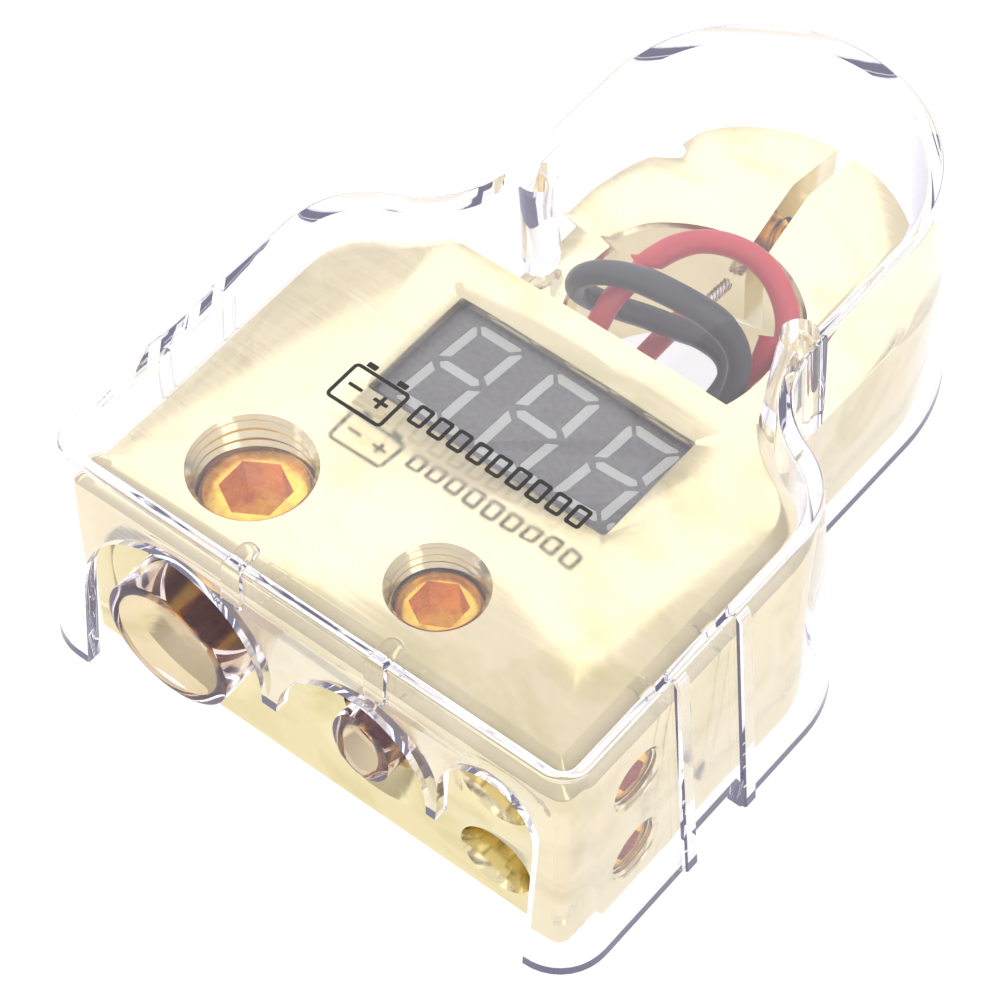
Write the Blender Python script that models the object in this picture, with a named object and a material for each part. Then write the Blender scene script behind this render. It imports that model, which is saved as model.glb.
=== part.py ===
"""Battery post clamp with a built-in three-digit voltmeter and a clear lift-off cover.

Metres, +Z up, -Y is the wire side (front), +Y is the battery post side (rear).
Z = 0 is the underside. The pieces are drawn from the middle of the display side of the
casting; at the end they all move so that the origin lies under the middle of the box.
"""
import math

import bmesh
import bpy
from mathutils import Matrix, Vector

MM = 0.001
GAP = 0.3 * MM                      # running clearance between pieces that touch

# ---- casting ---------------------------------------------------------------
BLOCK_HALF = 22.9 * MM              # half width of the front block
BLOCK_FRONT = 28.8 * MM             # front face, distance from the origin
BLOCK_REAR = 5.0 * MM               # rear edge of the tall block
BLOCK_HEIGHT = 21.0 * MM
TOP_BEVEL = 1.45 * MM
FOOT_BEVEL = 0.6 * MM
FRONT_CORNER_R = 0.9 * MM
SHOULDER_R = 6.4 * MM               # rounded rear corners of the block
SHOULDER_Y = -3.0 * MM              # centre of that rounding
WAIST_R = 10.6 * MM                 # hollow fillet between block and ring
RING_HALF = 13.8 * MM
RING_CENTRE_Y = 24.6 * MM           # centre of the half-round rear end
RING_HEIGHT = 12.7 * MM
RING_FALL = 1.1 * MM                # drop of the outer band of the ring
RING_FLAT_R = 12.2 * MM             # flat seat around the post bore
RING_FLAT_Y = 18.6 * MM
POST_R = 9.2 * MM                   # bore for the battery post
POST_Y = 15.3 * MM
SLOT_WIDTH = 1.75 * MM

# ---- wire bores and their set screws ---------------------------------------
WIRE_SCREW_Y = -21.5 * MM           # all set screws stand in this plane
BORE_DEPTH = 15.2 * MM
MOUTH_DEPTH = 1.8 * MM
LARGE_X = -12.1 * MM
LARGE_Z = 10.2 * MM
LARGE_BORE_R = 6.2 * MM
LARGE_MOUTH_R = 8.1 * MM
LARGE_THREAD_R = 4.75 * MM
MEDIUM_X = 5.5 * MM
MEDIUM_Z = 10.2 * MM
MEDIUM_BORE_R = 4.6 * MM
MEDIUM_MOUTH_R = 6.4 * MM
MEDIUM_THREAD_R = 3.7 * MM
SMALL_X = 16.7 * MM
SMALL_Z = (5.0 * MM, 14.3 * MM)     # lower and upper small bore
SMALL_BORE_R = 2.6 * MM
SMALL_MOUTH_R = 3.3 * MM
SMALL_THREAD_R = 2.5 * MM
SCREW_RECESS = 2.4 * MM             # screw face below the casting's face
SIDE_SCREW_RECESS = 0.9 * MM
LARGE_SCREW_LENGTH = 7.6 * MM
MEDIUM_SCREW_LENGTH = 7.2 * MM
SMALL_SCREW_LENGTH = 4.0 * MM
LARGE_KEY = 5.0 * MM                # hexagon socket across flats
MEDIUM_KEY = 4.0 * MM
SMALL_KEY = 2.5 * MM
SCREW_EDGE = 0.4 * MM               # chamfer round a screw's face
KEY_FLOOR = 0.42                    # height of the socket's floor, as a share of the length

# ---- clear wire sleeves ------------------------------------------------------
LARGE_SLEEVE_PROUD = 3.1 * MM
LARGE_SLEEVE_R = 5.85 * MM
MEDIUM_SLEEVE_PROUD = 1.2 * MM
MEDIUM_SLEEVE_R = 3.7 * MM          # the softer sleeve has sagged to an oval
MEDIUM_SLEEVE_NARROW = 0.73         # its width as a share of its height
MEDIUM_SLEEVE_OFFSET = 0.5 * MM     # it leans on the left of its bore
SLEEVE_WALL = 1.05 * MM

# ---- voltmeter ---------------------------------------------------------------
WINDOW_X = 0.86 * MM
WINDOW_Y = -4.75 * MM
WINDOW_WIDTH = 22.3 * MM
WINDOW_DEPTH = 11.1 * MM
WINDOW_RIM = 0.2 * MM
WINDOW_SKIN = 0.8 * MM              # casting over the electronics bay
BAY_LAP = 1.35 * MM                 # bay is wider than the window by this, each side
FACE_THICK = 0.6 * MM
DIGITS = 3
DIGIT_X = 1.26 * MM                 # centre of the middle digit
DIGIT_Y = -4.44 * MM
DIGIT_PITCH = 7.53 * MM
DIGIT_HEIGHT = 9.55 * MM
DIGIT_WIDTH = 4.9 * MM
DIGIT_SLANT = math.radians(4.4)
SEGMENT = 0.87 * MM
MITRE_GAP = 0.2 * MM                # bar ends stand back from the mitre line
BAR_CHAMFER = 0.22 * MM
POINT_GAP = 0.05 * MM               # pointed ends of the middle bar
MIDDLE_OUTER = 0.33 * MM            # outer and inner corner of an upright beside it
MIDDLE_INNER = 0.87 * MM
DOT_X = 3.25 * MM                   # decimal point, from its digit's centre
DOT_R = 0.47 * MM
DIFFUSER_LEAD = 3.05 * MM           # left edge of a diffuser, from its digit's centre
DIFFUSER_THICK = 1.4 * MM
CASE_HEIGHT = 6.1 * MM
STRIP_DEPTH = 1.6 * MM
STRIP_HEIGHT = 0.9 * MM
STRIP_INSET = 1.4 * MM
PIN_BELOW_BOARD = 0.7 * MM
BOARD_TOP = 10.8 * MM
BOARD_THICK = 1.2 * MM
PIN_R = 0.3 * MM
PIN_PITCH = 2.54 * MM
PINS = 6
PLATE_THICK = 1.5 * MM
PLATE_SUNK = 0.5 * MM
PLATE_LAP = 4.6 * MM                # closing plate beyond the bay, in X
PLATE_SCREW_R = 1.1 * MM
PLATE_HEAD_R = 1.9 * MM
PLATE_HEAD = 0.9 * MM
PLATE_SHANK = 5.2 * MM
CROSS_LONG = 1.2 * MM               # half sizes of the cross slot
CROSS_SHORT = 0.22 * MM
CROSS_DEPTH = 0.5 * MM
SOLDER_Y = -2.5 * MM
SOLDER_HEIGHT = 2.0 * MM
SOLDER_R = 1.0 * MM

# ---- leads ---------------------------------------------------------------------
LEAD_R = 1.0 * MM
TIP_R = 0.5 * MM
PORT_Z = 7.6 * MM
RED_PORT_X = -3.9 * MM
BLACK_PORT_X = 1.5 * MM
PORT_R = 2.0 * MM

# ---- clamp bolt ------------------------------------------------------------------
CLAMP_Y = 29.0 * MM
CLAMP_Z = 8.2 * MM
CLAMP_R = 2.0 * MM
CLAMP_HEAD_R = 3.4 * MM
CLAMP_HEAD = 3.6 * MM
CLAMP_REACH = 9.0 * MM              # end of the bolt, right of the slot
CLAMP_SEAT = 6.5 * MM               # under-head face, left of the slot
CLAMP_KEY = 3.0 * MM
CLAMP_KEY_DEPTH = 2.2 * MM

# ---- cover -----------------------------------------------------------------------
COVER_WALL = 1.3 * MM
COVER_SHEET = 1.5 * MM
COVER_AIR = 1.2 * MM                # air between casting top and cover sheet
COVER_DRAFT = 0.0787                # wall lean, sideways per height
COVER_SIDE_AIR = 0.6 * MM
COVER_FRONT_AIR = 0.5 * MM
COVER_RING_AIR = 0.3 * MM
COVER_RIM_Z = 0.2 * MM
COVER_EDGE_R = 0.7 * MM
NOTCH_AIR = 0.7 * MM                # cover notch around each bore mouth
SMALL_NOTCH_AIR = 1.05 * MM
MEDIUM_NOTCH_SHIFT = -0.3 * MM      # notch centres stand a little off their bores
SMALL_NOTCH_SHIFT = 0.85 * MM
TOOTH_Z = 10.2 * MM                 # flat lower ends of the teeth between notches
RIB_WIDTH = 1.4 * MM
RIB_PROUD = 0.45 * MM
RIB_ROOT = 0.6 * MM                 # a rib starts this far inside its wall
SIDE_RIBS = (-17.8 * MM, -10.5 * MM)
BEAD_X = (-6.1 * MM, 7.3 * MM)      # beads over the front edge
BEAD_R = 0.9 * MM
BEAD_PROUD = 0.35 * MM
BEAD_BACK = 2.6 * MM                # from the cover's front edge to a bead's rear end
BEAD_FOOT_Z = 19.6 * MM
SIDE_CUT_HEIGHT = 3.3 * MM
PILLAR_R = 1.6 * MM
PILLAR_INSET = 0.7 * MM             # pillar centre inside the wall's inner face
PILLAR_Y = 12.9 * MM

ROUND = 48                          # sides of a bore
OVERRUN = 0.5 * MM                  # a tool body runs this far past the face it opens
ARC_STEP = math.radians(7.5)

OBJECT_NAME = "battery_clamp_voltmeter"

COVER_TOP = BLOCK_HEIGHT + COVER_AIR + COVER_SHEET
SHOULDER_X = BLOCK_HALF - SHOULDER_R
BAY_TOP = BLOCK_HEIGHT - WINDOW_SKIN
BAY_HALF_X = WINDOW_WIDTH / 2 + BAY_LAP
BAY_HALF_Y = WINDOW_DEPTH / 2 + BAY_LAP
PLATE_HALF_X = BAY_HALF_X + PLATE_LAP
PLATE_HALF_Y = BAY_HALF_Y + GAP
RING_EDGE_Z = RING_HEIGHT - RING_FALL
BOARD_HALF_X = BAY_HALF_X - 2 * GAP
BOARD_HALF_Y = BAY_HALF_Y - 2 * GAP
FACE_TOP = BAY_TOP - GAP


# ---- scene and helpers ---------------------------------------------------------------
for old in list(bpy.data.objects):
    bpy.data.objects.remove(old, do_unlink=True)

parts = bpy.data.collections.new(OBJECT_NAME)
cutters = bpy.data.collections.new(OBJECT_NAME + "_cutters")
bpy.context.scene.collection.children.link(parts)
bpy.context.scene.collection.children.link(cutters)


def material(name, colour, roughness, metallic=0.0, alpha=1.0):
    """Return a Principled material, made once for each name."""
    found = bpy.data.materials.get(name)
    if found:
        return found
    made = bpy.data.materials.new(name)
    made.use_nodes = True
    shader = made.node_tree.nodes["Principled BSDF"]
    shader.inputs["Base Color"].default_value = (*colour, 1.0)
    shader.inputs["Roughness"].default_value = roughness
    shader.inputs["Metallic"].default_value = metallic
    shader.inputs["Alpha"].default_value = alpha
    return made


GOLD = material("gold_plate", (0.83, 0.72, 0.42), 0.18, 1.0)
SCREW_GOLD = material("screw_gold", (0.80, 0.48, 0.10), 0.25, 1.0)
CLEAR = material("clear_plastic", (0.90, 0.90, 0.95), 0.05, 0.0, 0.35)
VINYL = material("clear_vinyl", (0.75, 0.66, 0.74), 0.2, 0.0, 0.6)
FACE_GREY = material("display_grey", (0.13, 0.13, 0.12), 0.35)
DIFFUSER = material("diffuser_white", (0.62, 0.65, 0.58), 0.4)
CASE_BLACK = material("case_black", (0.03, 0.03, 0.03), 0.5)
BOARD_GREEN = material("board_green", (0.02, 0.18, 0.08), 0.45)
TIN = material("tinned_metal", (0.75, 0.74, 0.72), 0.35, 1.0)
RED = material("red_insulation", (0.72, 0.06, 0.06), 0.4)
BLACK = material("black_insulation", (0.035, 0.037, 0.036), 0.45)
BUSH_GREY = material("bush_grey", (0.2, 0.2, 0.2), 0.7)
BLUE = material("trimmer_blue", (0.03, 0.16, 0.5), 0.4)
TAN = material("capacitor_tan", (0.55, 0.38, 0.2), 0.5)


def add_object(name, mesh_builder, finish, home=None):
    """Make an object from a bmesh builder; the mesh is left faceted and closed."""
    mesh = bpy.data.meshes.new(name)
    mesh_builder.normal_update()
    mesh_builder.to_mesh(mesh)
    mesh_builder.free()
    made = bpy.data.objects.new(name, mesh)
    (home or parts).objects.link(made)
    if finish:
        mesh.materials.append(finish)
    return made


def box_bm(low, high):
    """A box between two corners."""
    low, high = Vector(low), Vector(high)
    bm = bmesh.new()
    bmesh.ops.create_cube(bm, size=1.0)
    bmesh.ops.scale(bm, vec=high - low, verts=bm.verts)
    bmesh.ops.translate(bm, vec=(low + high) / 2, verts=bm.verts)
    return bm


def turn_to(axis):
    """Rotation that takes +Z to the named axis."""
    return {
        "z": Matrix.Identity(3),
        "y": Matrix.Rotation(math.radians(-90), 3, "X"),
        "x": Matrix.Rotation(math.radians(90), 3, "Y"),
    }[axis]


def cylinder_bm(start, length, radius, axis="z", end_radius=None, sides=ROUND, twist=0.0):
    """A cylinder or cone that starts at a point and runs along +axis."""
    bm = bmesh.new()
    far = radius if end_radius is None else end_radius
    bmesh.ops.create_cone(bm, cap_ends=True, segments=sides, radius1=radius, radius2=far,
                          depth=length)
    bmesh.ops.translate(bm, vec=(0, 0, length / 2), verts=bm.verts)
    bmesh.ops.rotate(bm, matrix=Matrix.Rotation(twist, 3, "Z"), verts=bm.verts)
    bmesh.ops.rotate(bm, matrix=turn_to(axis), verts=bm.verts)
    bmesh.ops.translate(bm, vec=start, verts=bm.verts)
    return bm


def stack_bm(levels):
    """A solid through flat outlines, each (points, z), with the same number of points."""
    bm = bmesh.new()
    loops = [[bm.verts.new((x, y, z)) for x, y in points] for points, z in levels]
    bm.faces.new(loops[0])
    bm.faces.new(loops[-1])
    for lower, upper in zip(loops, loops[1:]):
        for i, vert in enumerate(lower):
            after = (i + 1) % len(lower)
            bm.faces.new((vert, lower[after], upper[after], upper[i]))
    bmesh.ops.recalc_face_normals(bm, faces=bm.faces)
    return bm


def prism_bm(points, low, high, far_points=None):
    """A solid between two flat outlines."""
    return stack_bm([(points, low), (far_points or points, high)])


def turned_bm(start, axis, profile, sides=ROUND):
    """A turned solid along +axis; the profile is (distance, radius) from its start."""
    circle = [(math.cos(2 * math.pi * i / sides), math.sin(2 * math.pi * i / sides))
              for i in range(sides)]
    bm = stack_bm([([(x * radius, y * radius) for x, y in circle], along)
                   for along, radius in profile])
    bmesh.ops.rotate(bm, matrix=turn_to(axis), verts=bm.verts)
    bmesh.ops.translate(bm, vec=start, verts=bm.verts)
    return bm


def smooth(made, degrees=35):
    """Shade a round piece smooth and keep its real edges sharp."""
    made.data.shade_smooth()
    made.data.set_sharp_from_angle(angle=math.radians(degrees))
    return made


def cutter(name, bm):
    """A tool body for a Boolean, hidden from the render."""
    made = add_object(name, bm, None, cutters)
    made.hide_render = True
    made.display_type = "WIRE"
    return made


def boolean(made, tool, operation="DIFFERENCE"):
    """Cut, join or intersect a piece with a tool body."""
    change = made.modifiers.new(tool.name, "BOOLEAN")
    change.operation = operation
    change.object = tool
    change.solver = "EXACT"


def cut(made, label, bm):
    """Cut a new tool body out of a piece."""
    boolean(made, cutter(f"{made.name}_{label}", bm))


def join(made, label, bm):
    """Join a new tool body to a piece."""
    boolean(made, cutter(f"{made.name}_{label}", bm), "UNION")


def arc(centre, radius, start, end):
    """Points along an arc, both ends included."""
    steps = max(2, round(abs(end - start) / ARC_STEP))
    return [(centre[0] + radius * math.cos(start + (end - start) * i / steps),
             centre[1] + radius * math.sin(start + (end - start) * i / steps))
            for i in range(steps + 1)]


def clamp_outline(half, front, ring_half, waist_r, front_r):
    """Plan outline: block with rounded shoulders, hollow waist and half-round ring end."""
    shoulder_r = half - SHOULDER_X
    waist_x = ring_half + waist_r
    reach = shoulder_r + waist_r
    waist_y = SHOULDER_Y + math.sqrt(reach ** 2 - (waist_x - SHOULDER_X) ** 2)
    meet = math.atan2(waist_y - SHOULDER_Y, waist_x - SHOULDER_X)
    front_arc = arc((half - front_r, -front + front_r), front_r, -math.pi / 2, 0)
    shoulder = arc((SHOULDER_X, SHOULDER_Y), shoulder_r, 0, meet)
    waist = arc((waist_x, waist_y), waist_r, meet + math.pi, math.pi)[1:]
    rear = arc((0, RING_CENTRE_Y), ring_half, 0, math.pi / 2)
    side = front_arc + shoulder + waist + rear
    other = [(-x, y) for x, y in reversed(side[:-1])]
    return side + other


def casting_outline(inset=0.0):
    """Outline of the casting, drawn in by the inset."""
    return clamp_outline(BLOCK_HALF - inset, BLOCK_FRONT - inset, RING_HALF - inset,
                         WAIST_R + inset, max(FRONT_CORNER_R - inset, 0.05 * MM))


def cover_outline(z, inset=0.0):
    """Outline of the leaning cover wall at a height, drawn in by the inset."""
    lean_block = COVER_DRAFT * (BLOCK_HEIGHT - TOP_BEVEL - z)
    lean_ring = COVER_DRAFT * (RING_EDGE_Z - z)
    side = COVER_SIDE_AIR + COVER_WALL + lean_block - inset
    half = BLOCK_HALF + side
    front = BLOCK_FRONT + COVER_FRONT_AIR + COVER_WALL + lean_block - inset
    ring = RING_HALF + COVER_RING_AIR + COVER_WALL + lean_ring - inset
    return clamp_outline(half, front, ring, WAIST_R - side, FRONT_CORNER_R + side)


def seat_outline(half, centre_y):
    """Straight-sided outline with a half-round rear, from inside the block."""
    start = BLOCK_REAR - MM
    return [(half, start)] + arc((0, centre_y), half, 0, math.pi) + [(-half, start)]


# ---- casting -----------------------------------------------------------------------------
def build_casting():
    """Block and ring in one casting, with every bore, the bay and the clamp slot."""
    body = stack_bm([(casting_outline(FOOT_BEVEL), 0), (casting_outline(), FOOT_BEVEL),
                     (casting_outline(), BLOCK_HEIGHT - TOP_BEVEL),
                     (casting_outline(TOP_BEVEL), BLOCK_HEIGHT)])
    casting = add_object("terminal_casting", body, GOLD)
    # behind the block everything above the ring's crowned top goes
    clear = cutter("terminal_casting_behind_block",
                   box_bm((-2 * BLOCK_HALF, BLOCK_REAR, RING_EDGE_Z),
                          (2 * BLOCK_HALF, RING_CENTRE_Y + 2 * RING_HALF, 2 * BLOCK_HEIGHT)))
    beyond = RING_HALF + GAP
    cut(clear, "seat", stack_bm([(seat_outline(beyond, RING_CENTRE_Y), RING_EDGE_Z - MM),
                                 (seat_outline(beyond, RING_CENTRE_Y), RING_EDGE_Z),
                                 (seat_outline(RING_FLAT_R, RING_FLAT_Y), RING_HEIGHT)]))
    boolean(casting, clear)

    cut(casting, "post", cylinder_bm((0, POST_Y, -MM), 30 * MM, POST_R, sides=64))
    slot_low = (-SLOT_WIDTH / 2, POST_Y, -MM)
    slot_high = (SLOT_WIDTH / 2, RING_CENTRE_Y + RING_HALF + MM, RING_HEIGHT + MM)
    cut(casting, "slot", box_bm(slot_low, slot_high))

    wires = [("large", LARGE_X, LARGE_Z, LARGE_BORE_R, LARGE_MOUTH_R),
             ("medium", MEDIUM_X, MEDIUM_Z, MEDIUM_BORE_R, MEDIUM_MOUTH_R),
             ("small_lower", SMALL_X, SMALL_Z[0], SMALL_BORE_R, SMALL_MOUTH_R),
             ("small_upper", SMALL_X, SMALL_Z[1], SMALL_BORE_R, SMALL_MOUTH_R)]
    for label, x, z, bore_r, mouth_r in wires:
        flare = (mouth_r - bore_r) / MOUTH_DEPTH
        cut(casting, f"{label}_bore",
            turned_bm((x, -BLOCK_FRONT, z), "y", [(-OVERRUN, mouth_r + flare * OVERRUN),
                                                  (MOUTH_DEPTH, bore_r), (BORE_DEPTH, bore_r)]))
    for label, x, z, thread_r in (("large", LARGE_X, LARGE_Z, LARGE_THREAD_R),
                                  ("medium", MEDIUM_X, MEDIUM_Z, MEDIUM_THREAD_R)):
        cut(casting, f"{label}_thread", cylinder_bm((x, WIRE_SCREW_Y, z),
                                                    BLOCK_HEIGHT - z + MM, thread_r,
                                                    twist=math.radians(2)))
    for label, z in (("lower", SMALL_Z[0]), ("upper", SMALL_Z[1])):
        start = SMALL_X - SMALL_BORE_R / 4
        cut(casting, f"{label}_side_thread", cylinder_bm((start, WIRE_SCREW_Y, z),
                                                         BLOCK_HALF - start + MM,
                                                         SMALL_THREAD_R, "x", sides=36,
                                                         twist=math.radians(3)))

    bay_low = (WINDOW_X - BAY_HALF_X, WINDOW_Y - BAY_HALF_Y, -MM)
    bay_high = (WINDOW_X + BAY_HALF_X, WINDOW_Y + BAY_HALF_Y, BAY_TOP)
    cut(casting, "bay", box_bm(bay_low, bay_high))
    rebate = PLATE_SUNK + PLATE_THICK + GAP
    rebate_low = (WINDOW_X - PLATE_HALF_X - GAP, WINDOW_Y - PLATE_HALF_Y - GAP, -MM)
    rebate_high = (WINDOW_X + PLATE_HALF_X + GAP, WINDOW_Y + PLATE_HALF_Y + GAP, rebate)
    cut(casting, "plate_rebate", box_bm(rebate_low, rebate_high))
    window_low = (WINDOW_X - WINDOW_WIDTH / 2, WINDOW_Y - WINDOW_DEPTH / 2, BAY_TOP - MM)
    window_high = (WINDOW_X + WINDOW_WIDTH / 2, WINDOW_Y + WINDOW_DEPTH / 2, 30 * MM)
    cut(casting, "window", box_bm(window_low, window_high))
    cut(casting, "window_rim", stack_bm([(around_window(-WINDOW_RIM), BLOCK_HEIGHT - 2 * WINDOW_RIM),
                                         (around_window(2 * WINDOW_RIM), BLOCK_HEIGHT + WINDOW_RIM)]))
    for side in (-1, 1):
        x = plate_screw_x(side)
        cut(casting, f"plate_thread_{side}", cylinder_bm((x, WINDOW_Y, -MM), 8 * MM,
                                                         PLATE_SCREW_R + GAP, sides=24))
    for label, x in (("red", RED_PORT_X), ("black", BLACK_PORT_X)):
        start = WINDOW_Y + BAY_HALF_Y - MM
        cut(casting, f"{label}_port", cylinder_bm((x, start, PORT_Z), POST_Y - start,
                                                  PORT_R, "y", sides=32))

    seat = -CLAMP_SEAT
    cut(casting, "clamp_head_bore", cylinder_bm((-20 * MM, CLAMP_Y, CLAMP_Z), 20 * MM + seat,
                                                CLAMP_HEAD_R + GAP, "x"))
    cut(casting, "clamp_bore", cylinder_bm((seat - MM, CLAMP_Y, CLAMP_Z),
                                           CLAMP_REACH - seat + MM + 2 * GAP,
                                           CLAMP_R + GAP, "x", sides=32))
    return casting


def around_window(margin):
    """Corners of the window, moved outward by a margin."""
    half_x, half_y = WINDOW_WIDTH / 2 + margin, WINDOW_DEPTH / 2 + margin
    return [(WINDOW_X + sx * half_x, WINDOW_Y + sy * half_y)
            for sx, sy in ((-1, -1), (1, -1), (1, 1), (-1, 1))]


def plate_screw_x(side):
    """Place of a closing plate screw, beside the bay."""
    return WINDOW_X + side * (BAY_HALF_X + PLATE_LAP / 2)


# ---- screws ---------------------------------------------------------------------------------
def build_set_screw(name, start, length, radius, key, axis):
    """A headless screw; its face with the hexagon socket is the far end of the axis."""
    body = turned_bm((0, 0, 0), "z", [(0, radius - SCREW_EDGE), (SCREW_EDGE, radius),
                                      (length - SCREW_EDGE, radius),
                                      (length, radius - SCREW_EDGE)])
    screw = add_object(name, body, SCREW_GOLD)
    cut(screw, "socket", cylinder_bm((0, 0, length * KEY_FLOOR), length, key / math.sqrt(3),
                                     sides=6))
    place_on_axis(screw, start, axis)
    return smooth(screw)


def place_on_axis(made, start, axis):
    """Turn a piece and its tool bodies from +Z to an axis and move them to their place."""
    place = Matrix.Translation(start) @ turn_to(axis).to_4x4()
    for piece in [made] + [change.object for change in made.modifiers]:
        piece.matrix_world = place


def build_set_screws():
    """Two screws from above and two from the right side."""
    face = BLOCK_HEIGHT - SCREW_RECESS
    build_set_screw("large_set_screw", (LARGE_X, WIRE_SCREW_Y, face - LARGE_SCREW_LENGTH),
                    LARGE_SCREW_LENGTH, LARGE_THREAD_R - GAP, LARGE_KEY, "z")
    build_set_screw("medium_set_screw", (MEDIUM_X, WIRE_SCREW_Y, face - MEDIUM_SCREW_LENGTH),
                    MEDIUM_SCREW_LENGTH, MEDIUM_THREAD_R - GAP, MEDIUM_KEY, "z")
    side_face = BLOCK_HALF - SIDE_SCREW_RECESS
    for label, z in (("lower", SMALL_Z[0]), ("upper", SMALL_Z[1])):
        start = (side_face - SMALL_SCREW_LENGTH, WIRE_SCREW_Y, z)
        build_set_screw(f"{label}_side_set_screw", start, SMALL_SCREW_LENGTH,
                        SMALL_THREAD_R - GAP, SMALL_KEY, "x")


def build_clamp_bolt():
    """Socket head bolt across the slot; it closes the ring on the post."""
    length = CLAMP_SEAT + CLAMP_REACH - GAP
    profile = [(-CLAMP_HEAD, CLAMP_HEAD_R), (0, CLAMP_HEAD_R), (0, CLAMP_R), (length, CLAMP_R)]
    bolt = add_object("clamp_bolt", turned_bm((0, 0, 0), "z", profile, sides=36), SCREW_GOLD)
    cut(bolt, "socket", cylinder_bm((0, 0, -CLAMP_HEAD - MM), MM + CLAMP_KEY_DEPTH,
                                    CLAMP_KEY / math.sqrt(3), sides=6))
    place_on_axis(bolt, (-CLAMP_SEAT - GAP, CLAMP_Y, CLAMP_Z), "x")
    return smooth(bolt)


# ---- sleeves -----------------------------------------------------------------------------------
def build_sleeve(name, x, z, radius, proud, stop_y, narrow=1.0):
    """A short clear tube pushed into a wire bore; narrow squeezes it to an oval."""
    start = -BLOCK_FRONT - proud
    outside = cylinder_bm((0, start, 0), stop_y - start, radius, "y")
    inside = cylinder_bm((0, start - MM, 0), stop_y - start + 2 * MM, radius - SLEEVE_WALL, "y")
    hollow = (radius * narrow - SLEEVE_WALL) / (radius - SLEEVE_WALL)
    for bm, squeeze in ((outside, narrow), (inside, hollow)):
        bmesh.ops.scale(bm, vec=(squeeze, 1, 1), verts=bm.verts)
        bmesh.ops.translate(bm, vec=(x, 0, z), verts=bm.verts)
    tube = add_object(name, outside, VINYL)
    cut(tube, "inside", inside)
    return smooth(tube)


def build_sleeves():
    """Both sleeves stop short of their set screws."""
    build_sleeve("large_wire_sleeve", LARGE_X, LARGE_Z, LARGE_SLEEVE_R, LARGE_SLEEVE_PROUD,
                 WIRE_SCREW_Y - LARGE_THREAD_R - GAP)
    build_sleeve("medium_wire_sleeve", MEDIUM_X - MEDIUM_SLEEVE_OFFSET, MEDIUM_Z,
                 MEDIUM_SLEEVE_R, MEDIUM_SLEEVE_PROUD, WIRE_SCREW_Y - MEDIUM_THREAD_R - GAP,
                 MEDIUM_SLEEVE_NARROW)


# ---- voltmeter -----------------------------------------------------------------------------------
def segment_bars():
    """Bars of an upright digit: start, end, kind of each end and the side that faces out."""
    half_w = (DIGIT_WIDTH - SEGMENT) / 2
    half_h = (DIGIT_HEIGHT - SEGMENT) / 2
    left, right, low, mid, high = -half_w, half_w, -half_h, 0, half_h
    return [((left, high), (right, high), "mitre", "mitre", 1),
            ((left, low), (right, low), "mitre", "mitre", -1),
            ((left, mid), (right, mid), "point", "point", 1),
            ((left, high), (left, mid), "mitre", "middle", -1),
            ((left, low), (left, mid), "mitre", "middle", 1),
            ((right, high), (right, mid), "mitre", "middle", 1),
            ((right, low), (right, mid), "mitre", "middle", -1)]


def bar_end(kind, outer):
    """Corners of one bar end as (along, across), from the right of the bar to its left."""
    half = SEGMENT / 2
    if kind == "point":
        return [(half + POINT_GAP, -half), (POINT_GAP, 0), (half + POINT_GAP, half)]
    if kind == "middle":
        corners = [(MIDDLE_OUTER, outer * half), (MIDDLE_INNER, -outer * half)]
    else:
        corners = [(MITRE_GAP - half + 2 * BAR_CHAMFER, outer * half),
                   (MITRE_GAP - half + BAR_CHAMFER, outer * (half - BAR_CHAMFER)),
                   (MITRE_GAP + half, -outer * half)]
    return sorted(corners, key=lambda corner: corner[1])


def bar_points(bar, centre_x):
    """Outline of a bar in its place on the display, leaning with its digit."""
    start, end, start_kind, end_kind, outer = bar
    start, end = Vector(start), Vector(end)
    along = (end - start).normalized()
    across = Vector((-along.y, along.x))
    corners = [start + along * run + across * side for run, side in bar_end(start_kind, outer)]
    corners += [end - along * run + across * side
                for run, side in reversed(bar_end(end_kind, outer))]
    return [(centre_x + p.x + p.y * math.tan(DIGIT_SLANT), DIGIT_Y + p.y) for p in corners]


def digit_x(index):
    """Centre of a digit."""
    return DIGIT_X + (index - (DIGITS - 1) / 2) * DIGIT_PITCH


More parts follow.
